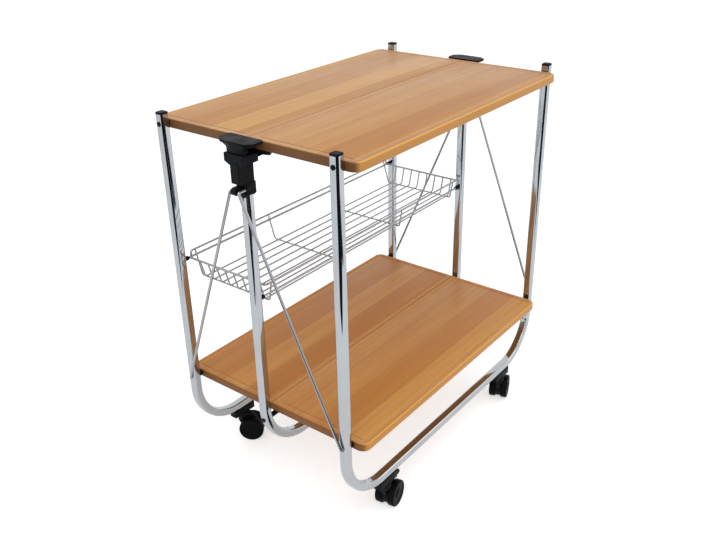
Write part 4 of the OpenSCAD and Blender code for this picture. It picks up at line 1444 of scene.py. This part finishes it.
@dataclass
class TwinCaster:
    """Twin-wheel swivel caster: hood, two wheels and, on two corners, a brake pedal.

    Args:
        shop: Finishes and node trees.
        side: Long side that it is on.
        end: Short end that it is on.
        heading: Direction of the axle from the swivel axis, in degrees.
        brake: Whether it has a pedal.
    """

    shop: Workshop
    side: Side
    end: End
    heading: float
    brake: bool
    wheel: float = 25.0
    width: float = 13.5
    shoulder: float = 2.5
    rim: float = 22.0
    web: float = 5.0
    gap: float = 0.5
    trail: float = 18.0
    brake_spot: Flat = (25.0, 54.6)

    @property
    def tag(self) -> str:
        """End of the CAD names."""
        return f"{self.side.value}_{self.end.value}"

    @property
    def place(self) -> Matrix:
        """From the caster's own axes to the trolley's."""
        turn = Matrix.Rotation(math.radians(self.heading), 4, "Z")
        return at(self.end.sign * CASTER_X, self.side.sign * FRAME_Y, 0) @ turn

    @property
    def brake_place(self) -> Matrix:
        """From the brake's own axes to the trolley's."""
        return self.place @ at(self.brake_spot[0], 0, self.brake_spot[1]) @ Y_AXIS

    def hood(self) -> None:
        """Makes the body between the wheels, the swivel socket and the brake's tab."""
        top, side = SADDLE_Z - 0.4, self.web - 0.1
        outline = [(-9.0, top - 0.6), (-9.0, top - 17.0), (-6.4, top - 24.0)]
        outline += arc(self.trail, self.wheel, self.rim, range(-200, 46, 7))
        outline += [(28.5, 47.0), (23.0, 54.0), (18.0, top - 0.6)]
        piece = Piece(f"hood_{self.tag}_body", "caster_" + self.tag, ["hood_" + self.tag], "black_plastic")
        piece.add(Solid().prism(outline, -side, side).bevel(0.8, 2, 40), self.place @ Y_AXIS)
        socket = [(3.2, 40.0), (9.6, 46.0), (11.0, 51.4), (11.0, top - 1.2), (10.4, top - 0.3), (9.8, top)]
        socket += [(3.2, top)]
        piece.add(Solid().loft(round_rings(socket, 40), closed=True), self.place)
        if self.brake:
            profile = [(0, -2.8), (3.1, -2.8), (3.4, -2.5), (3.4, 2.5), (3.1, 2.8), (0, 2.8)]
            piece.add(Solid().lathe(profile, 32), self.brake_place)
        piece.done(self.shop.palette["black_plastic"])

    def wheels(self) -> None:
        """Makes both wheels with round shoulders, a tyre line, a dish and a hub cap."""
        width, wheel, shoulder = self.width, self.wheel, self.shoulder
        turns = [math.radians(angle) for angle in range(0, 91, 15)]
        bends = [(shoulder * math.sin(t), shoulder * math.cos(t)) for t in turns]
        profile = [(0.0, width - 2.2), (2.55, width - 2.2), (2.55, 0.0), (6.0, 0.0), (6.4, 0.5)]
        profile += [(19.0, 0.5), (19.4, 0.0)]
        profile += [(wheel - shoulder + sine, shoulder - cosine) for sine, cosine in bends]
        profile += [(wheel - shoulder + cosine, width - shoulder + sine) for sine, cosine in bends]
        face = (
            (21.9, 0.05), (21.6, 0.5), (21.1, 0.5), (20.8, 0.05), (20.2, 0.1), (19.2, 0.8), (17.5, 1.3),
            (10.5, 1.3), (9.4, 0.9), (8.6, 0.15), (7.9, 0.05), (7.4, 0.4), (6.9, 0.4), (6.4, 0.1),
            (3.0, 0.0), (0.0, 0.0),
        )
        profile += [(radius, width - drop) for radius, drop in face]
        turn = Matrix.Rotation(-math.pi / 2, 4, "X")
        for label, sign in (("a", -1), ("b", 1)):
            name = f"wheel_{self.tag}_{label}"
            piece = Piece(name + "_tyre", name, [name], "wheel_plastic")
            hub = self.place @ at(self.trail, 0, wheel) @ flip(1, sign) @ at(0, self.web + self.gap, 0)
            piece.add(Solid().lathe(profile, 64), hub @ turn)
            piece.done(self.shop.palette["wheel_plastic"])

    def pedal(self) -> None:
        """Makes the brake pedal with its two cheeks and its tread."""
        name = "brake_" + self.tag
        piece = Piece(name + "_pedal", name, [name], "black_plastic")
        cheek = [
            (-1.0, 3.0), (4.0, 3.6), (8.0, 7.4), (12.0, 6.8), (10.0, -1.5), (0.0, -3.0),
            (-2.4, -1.8), (-3.0, 0.0), (-2.4, 1.8),
        ]
        tread = [(5.4, 5.0), (8.0, 7.5), (17.0, 5.5), (20.0, -1.0), (17.0, -3.2), (10.0, -1.5), (5.4, -1.0)]
        spot = self.brake_place
        for low, high in ((-8.0, -3.3), (3.3, 8.0)):
            piece.add(Solid().prism(cheek, low, high).bevel(0.5, 2, 25), spot)
        piece.add(Solid().prism(tread, -8.0, 8.0).bevel(0.9, 3, 25), spot)
        piece.add(Solid().lathe([(0, -7.6), (1.5, -7.6), (1.5, 7.6), (0, 7.6)], 20), spot)
        piece.done(self.shop.palette["black_plastic"])

    def build(self) -> None:
        """Makes the whole caster."""
        self.hood()
        self.wheels()
        if self.brake:
            self.pedal()


def dress_kept_nodes(palette: Palette) -> None:
    """Gives the CAD solids that stay their finishes.

    Args:
        palette: The finishes.
    """
    steel = [f"{side.value}_caster_stems" for side in Side]
    steel += [f"axle_{side.value}_{end.value}" for side in Side for end in End]
    for name in steel:
        mesh = bpy.data.objects[name].data
        mesh.materials.clear()
        mesh.materials.append(palette["bright_steel"])
        LOG.info("solid %s dressed", name)


@dataclass
class Studio:
    """Floor, background, lamps, a dark card and the camera."""

    eye: Point = (-1.1467, -0.8648, 1.0732)
    azimuth: float = -51.83
    elevation: float = 26.73
    roll: float = -1.206
    focal_pixels: float = 826.1
    frame_pixels: float = 716.0
    sensor: float = 36.0
    floor_half: float = 14.0
    soft_light: float = 0.66
    aim: Point = (0.0, 0.0, 0.4)
    card_z: float = 0.004

    def background(self) -> None:
        """Makes a background that is white to the camera and in reflections, and softer as a light."""
        world = bpy.data.worlds.new("studio")
        bpy.context.scene.world = world
        world.use_nodes = True
        world.node_tree.nodes.clear()
        sketch = NodeSketch(world.node_tree)
        rays = sketch.add("ShaderNodeLightPath").outputs
        mirrored = sketch.math("MAXIMUM", rays["Is Glossy Ray"], rays["Is Transmission Ray"])
        seen = sketch.math("MAXIMUM", rays["Is Camera Ray"], mirrored)
        strength = sketch.remap(seen, 0.0, 1.0, self.soft_light, 1.0)
        plain = sketch.add("ShaderNodeBackground", {"Color": (1, 1, 1, 1), "Strength": strength})
        sketch.add("ShaderNodeOutputWorld", {"Surface": plain.outputs[0]})

    def floor(self) -> None:
        """Makes a wide pale floor that keeps the shadow and meets the white background."""
        mesh = bpy.data.meshes.new("studio_floor")
        half = self.floor_half
        corners = [(-half, -half, 0), (half, -half, 0), (half, half, 0), (-half, half, 0)]
        mesh.from_pydata(corners, [], [(0, 1, 2, 3)])
        floor = put_in_scene("studio_floor", mesh)
        material, sketch = bare_material("pale_floor")
        rays = sketch.add("ShaderNodeLightPath").outputs
        mirrored = sketch.math("MAXIMUM", rays["Is Glossy Ray"], rays["Is Transmission Ray"])
        seen = sketch.total(sketch.product(rays["Is Camera Ray"], 0.56), sketch.product(mirrored, 0.36))
        matt = sketch.add("ShaderNodeBsdfDiffuse", {"Color": (0.80, 0.83, 0.85, 1)})
        glow = sketch.add("ShaderNodeEmission", {"Color": (1, 1, 1, 1), "Strength": seen})
        both = sketch.add("ShaderNodeAddShader", {0: matt.outputs[0], 1: glow.outputs[0]})
        sketch.add("ShaderNodeOutputMaterial", {"Surface": both.outputs[0]})
        mesh.materials.append(material)

    def lamp(self, name: str, power: float, size: float, place: Point) -> None:
        """Makes a soft square lamp that looks at the trolley's middle.

        Args:
            name: The lamp's name.
            power: Its power in watts.
            size: Its side in metres.
            place: Where it hangs, in metres.
        """
        data = bpy.data.lights.new(name, "AREA")
        data.energy, data.size = power, size
        lamp = put_in_scene(name, data)
        lamp.location = place
        lamp.rotation_euler = (Vector(self.aim) - Vector(place)).to_track_quat("-Z", "Y").to_euler()

    def card(self, name: str, start: float, stop: float, near: float, far: float) -> None:
        """Makes a dark sector on the floor that only reflections show, like a studio's dark room.

        Args:
            name: The object's name.
            start, stop: Directions of its two sides from the middle, in degrees.
            near, far: Radii of its inner and outer edge.
        """
        steps = 24
        turns = [math.radians(start + (stop - start) * i / steps) for i in range(steps + 1)]
        edges = [(edge, turn) for turn in turns for edge in (near, far)]
        points = [(edge * math.cos(turn), edge * math.sin(turn), self.card_z) for edge, turn in edges]
        faces = [(2 * i, 2 * i + 1, 2 * i + 3, 2 * i + 2) for i in range(steps)]
        mesh = bpy.data.meshes.new(name)
        mesh.from_pydata(points, [], faces)
        card = put_in_scene(name, mesh)
        material, sketch = bare_material(name)
        matt = sketch.add("ShaderNodeBsdfDiffuse", {"Color": (0.012, 0.012, 0.015, 1)})
        sketch.add("ShaderNodeOutputMaterial", {"Surface": matt.outputs[0]})
        mesh.materials.append(material)
        card.visible_camera = card.visible_diffuse = card.visible_shadow = False

    def camera(self) -> None:
        """Camera at the photograph's viewing angle."""
        turn, tilt, roll = (math.radians(v) for v in (self.azimuth, self.elevation, self.roll))
        level = math.cos(tilt)
        right = Vector((math.cos(turn), math.sin(turn), 0))
        forward = Vector((-math.sin(turn) * level, math.cos(turn) * level, -math.sin(tilt)))
        up = right.cross(forward)
        turned_right = right * math.cos(roll) + up * math.sin(roll)
        turned_up = up * math.cos(roll) - right * math.sin(roll)
        data = bpy.data.cameras.new("photo_camera")
        data.sensor_fit = "HORIZONTAL"
        data.sensor_width = self.sensor
        data.lens = self.focal_pixels / self.frame_pixels * self.sensor
        matrix = Matrix((turned_right, turned_up, -forward)).transposed().to_4x4()
        matrix.translation = Vector(self.eye)
        camera = put_in_scene("photo_camera", data)
        camera.matrix_world = matrix
        bpy.context.scene.camera = camera

    def build(self) -> None:
        """Sets up the whole studio."""
        bpy.context.scene.view_settings.view_transform = "Standard"
        self.camera()
        self.background()
        self.floor()
        self.lamp("key_lamp", 26.0, 2.2, (-1.9, -1.2, 2.9))
        self.lamp("side_lamp", 12.0, 2.0, (1.6, -2.4, 2.0))
        self.card("dark_card", 166.0, 300.0, 1.06, 8.0)


def main() -> None:
    """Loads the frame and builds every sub-assembly in order."""
    logging.basicConfig(level=logging.INFO, format="%(name)s: %(message)s")
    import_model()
    palette = Palette()
    palette.build()
    shop = Workshop(palette, PathSweep(Section.SQUARE), PathSweep(Section.ROUND), CopySweep())
    TubeFrame(shop, "middle_frame", 0.0, 114.0, 690.0).build()
    for side in Side:
        TubeFrame(shop, side.value + "_frame", side.sign * FRAME_Y, 82.0, 708.0).build()
        OuterFrameFittings(shop, side).build()
        HalfShelf(shop, Level.UPPER, side, 308.0, 308.0, 682.0, 672.0).build()
        HalfShelf(shop, Level.LOWER, side, 302.0, 272.0, 195.6, 186.0).build()
    CentrePins(shop).build()
    WireBasket(shop).build()
    for end in End:
        LatchHousing(shop, end).build()
        ReleaseGrip(shop, end).build()
        Collar(shop, end).build()
        for side in Side:
            Brace(shop, side, end).build()
    TwinCaster(shop, Side.FRONT, End.NEAR, 10.0, True).build()
    TwinCaster(shop, Side.FRONT, End.FAR, 19.0, False).build()
    TwinCaster(shop, Side.REAR, End.NEAR, -55.0, False).build()
    TwinCaster(shop, Side.REAR, End.FAR, 12.0, True).build()
    dress_kept_nodes(palette)
    Studio().build()
    LOG.info("sizes written")


if __name__ == "__main__":
    main()
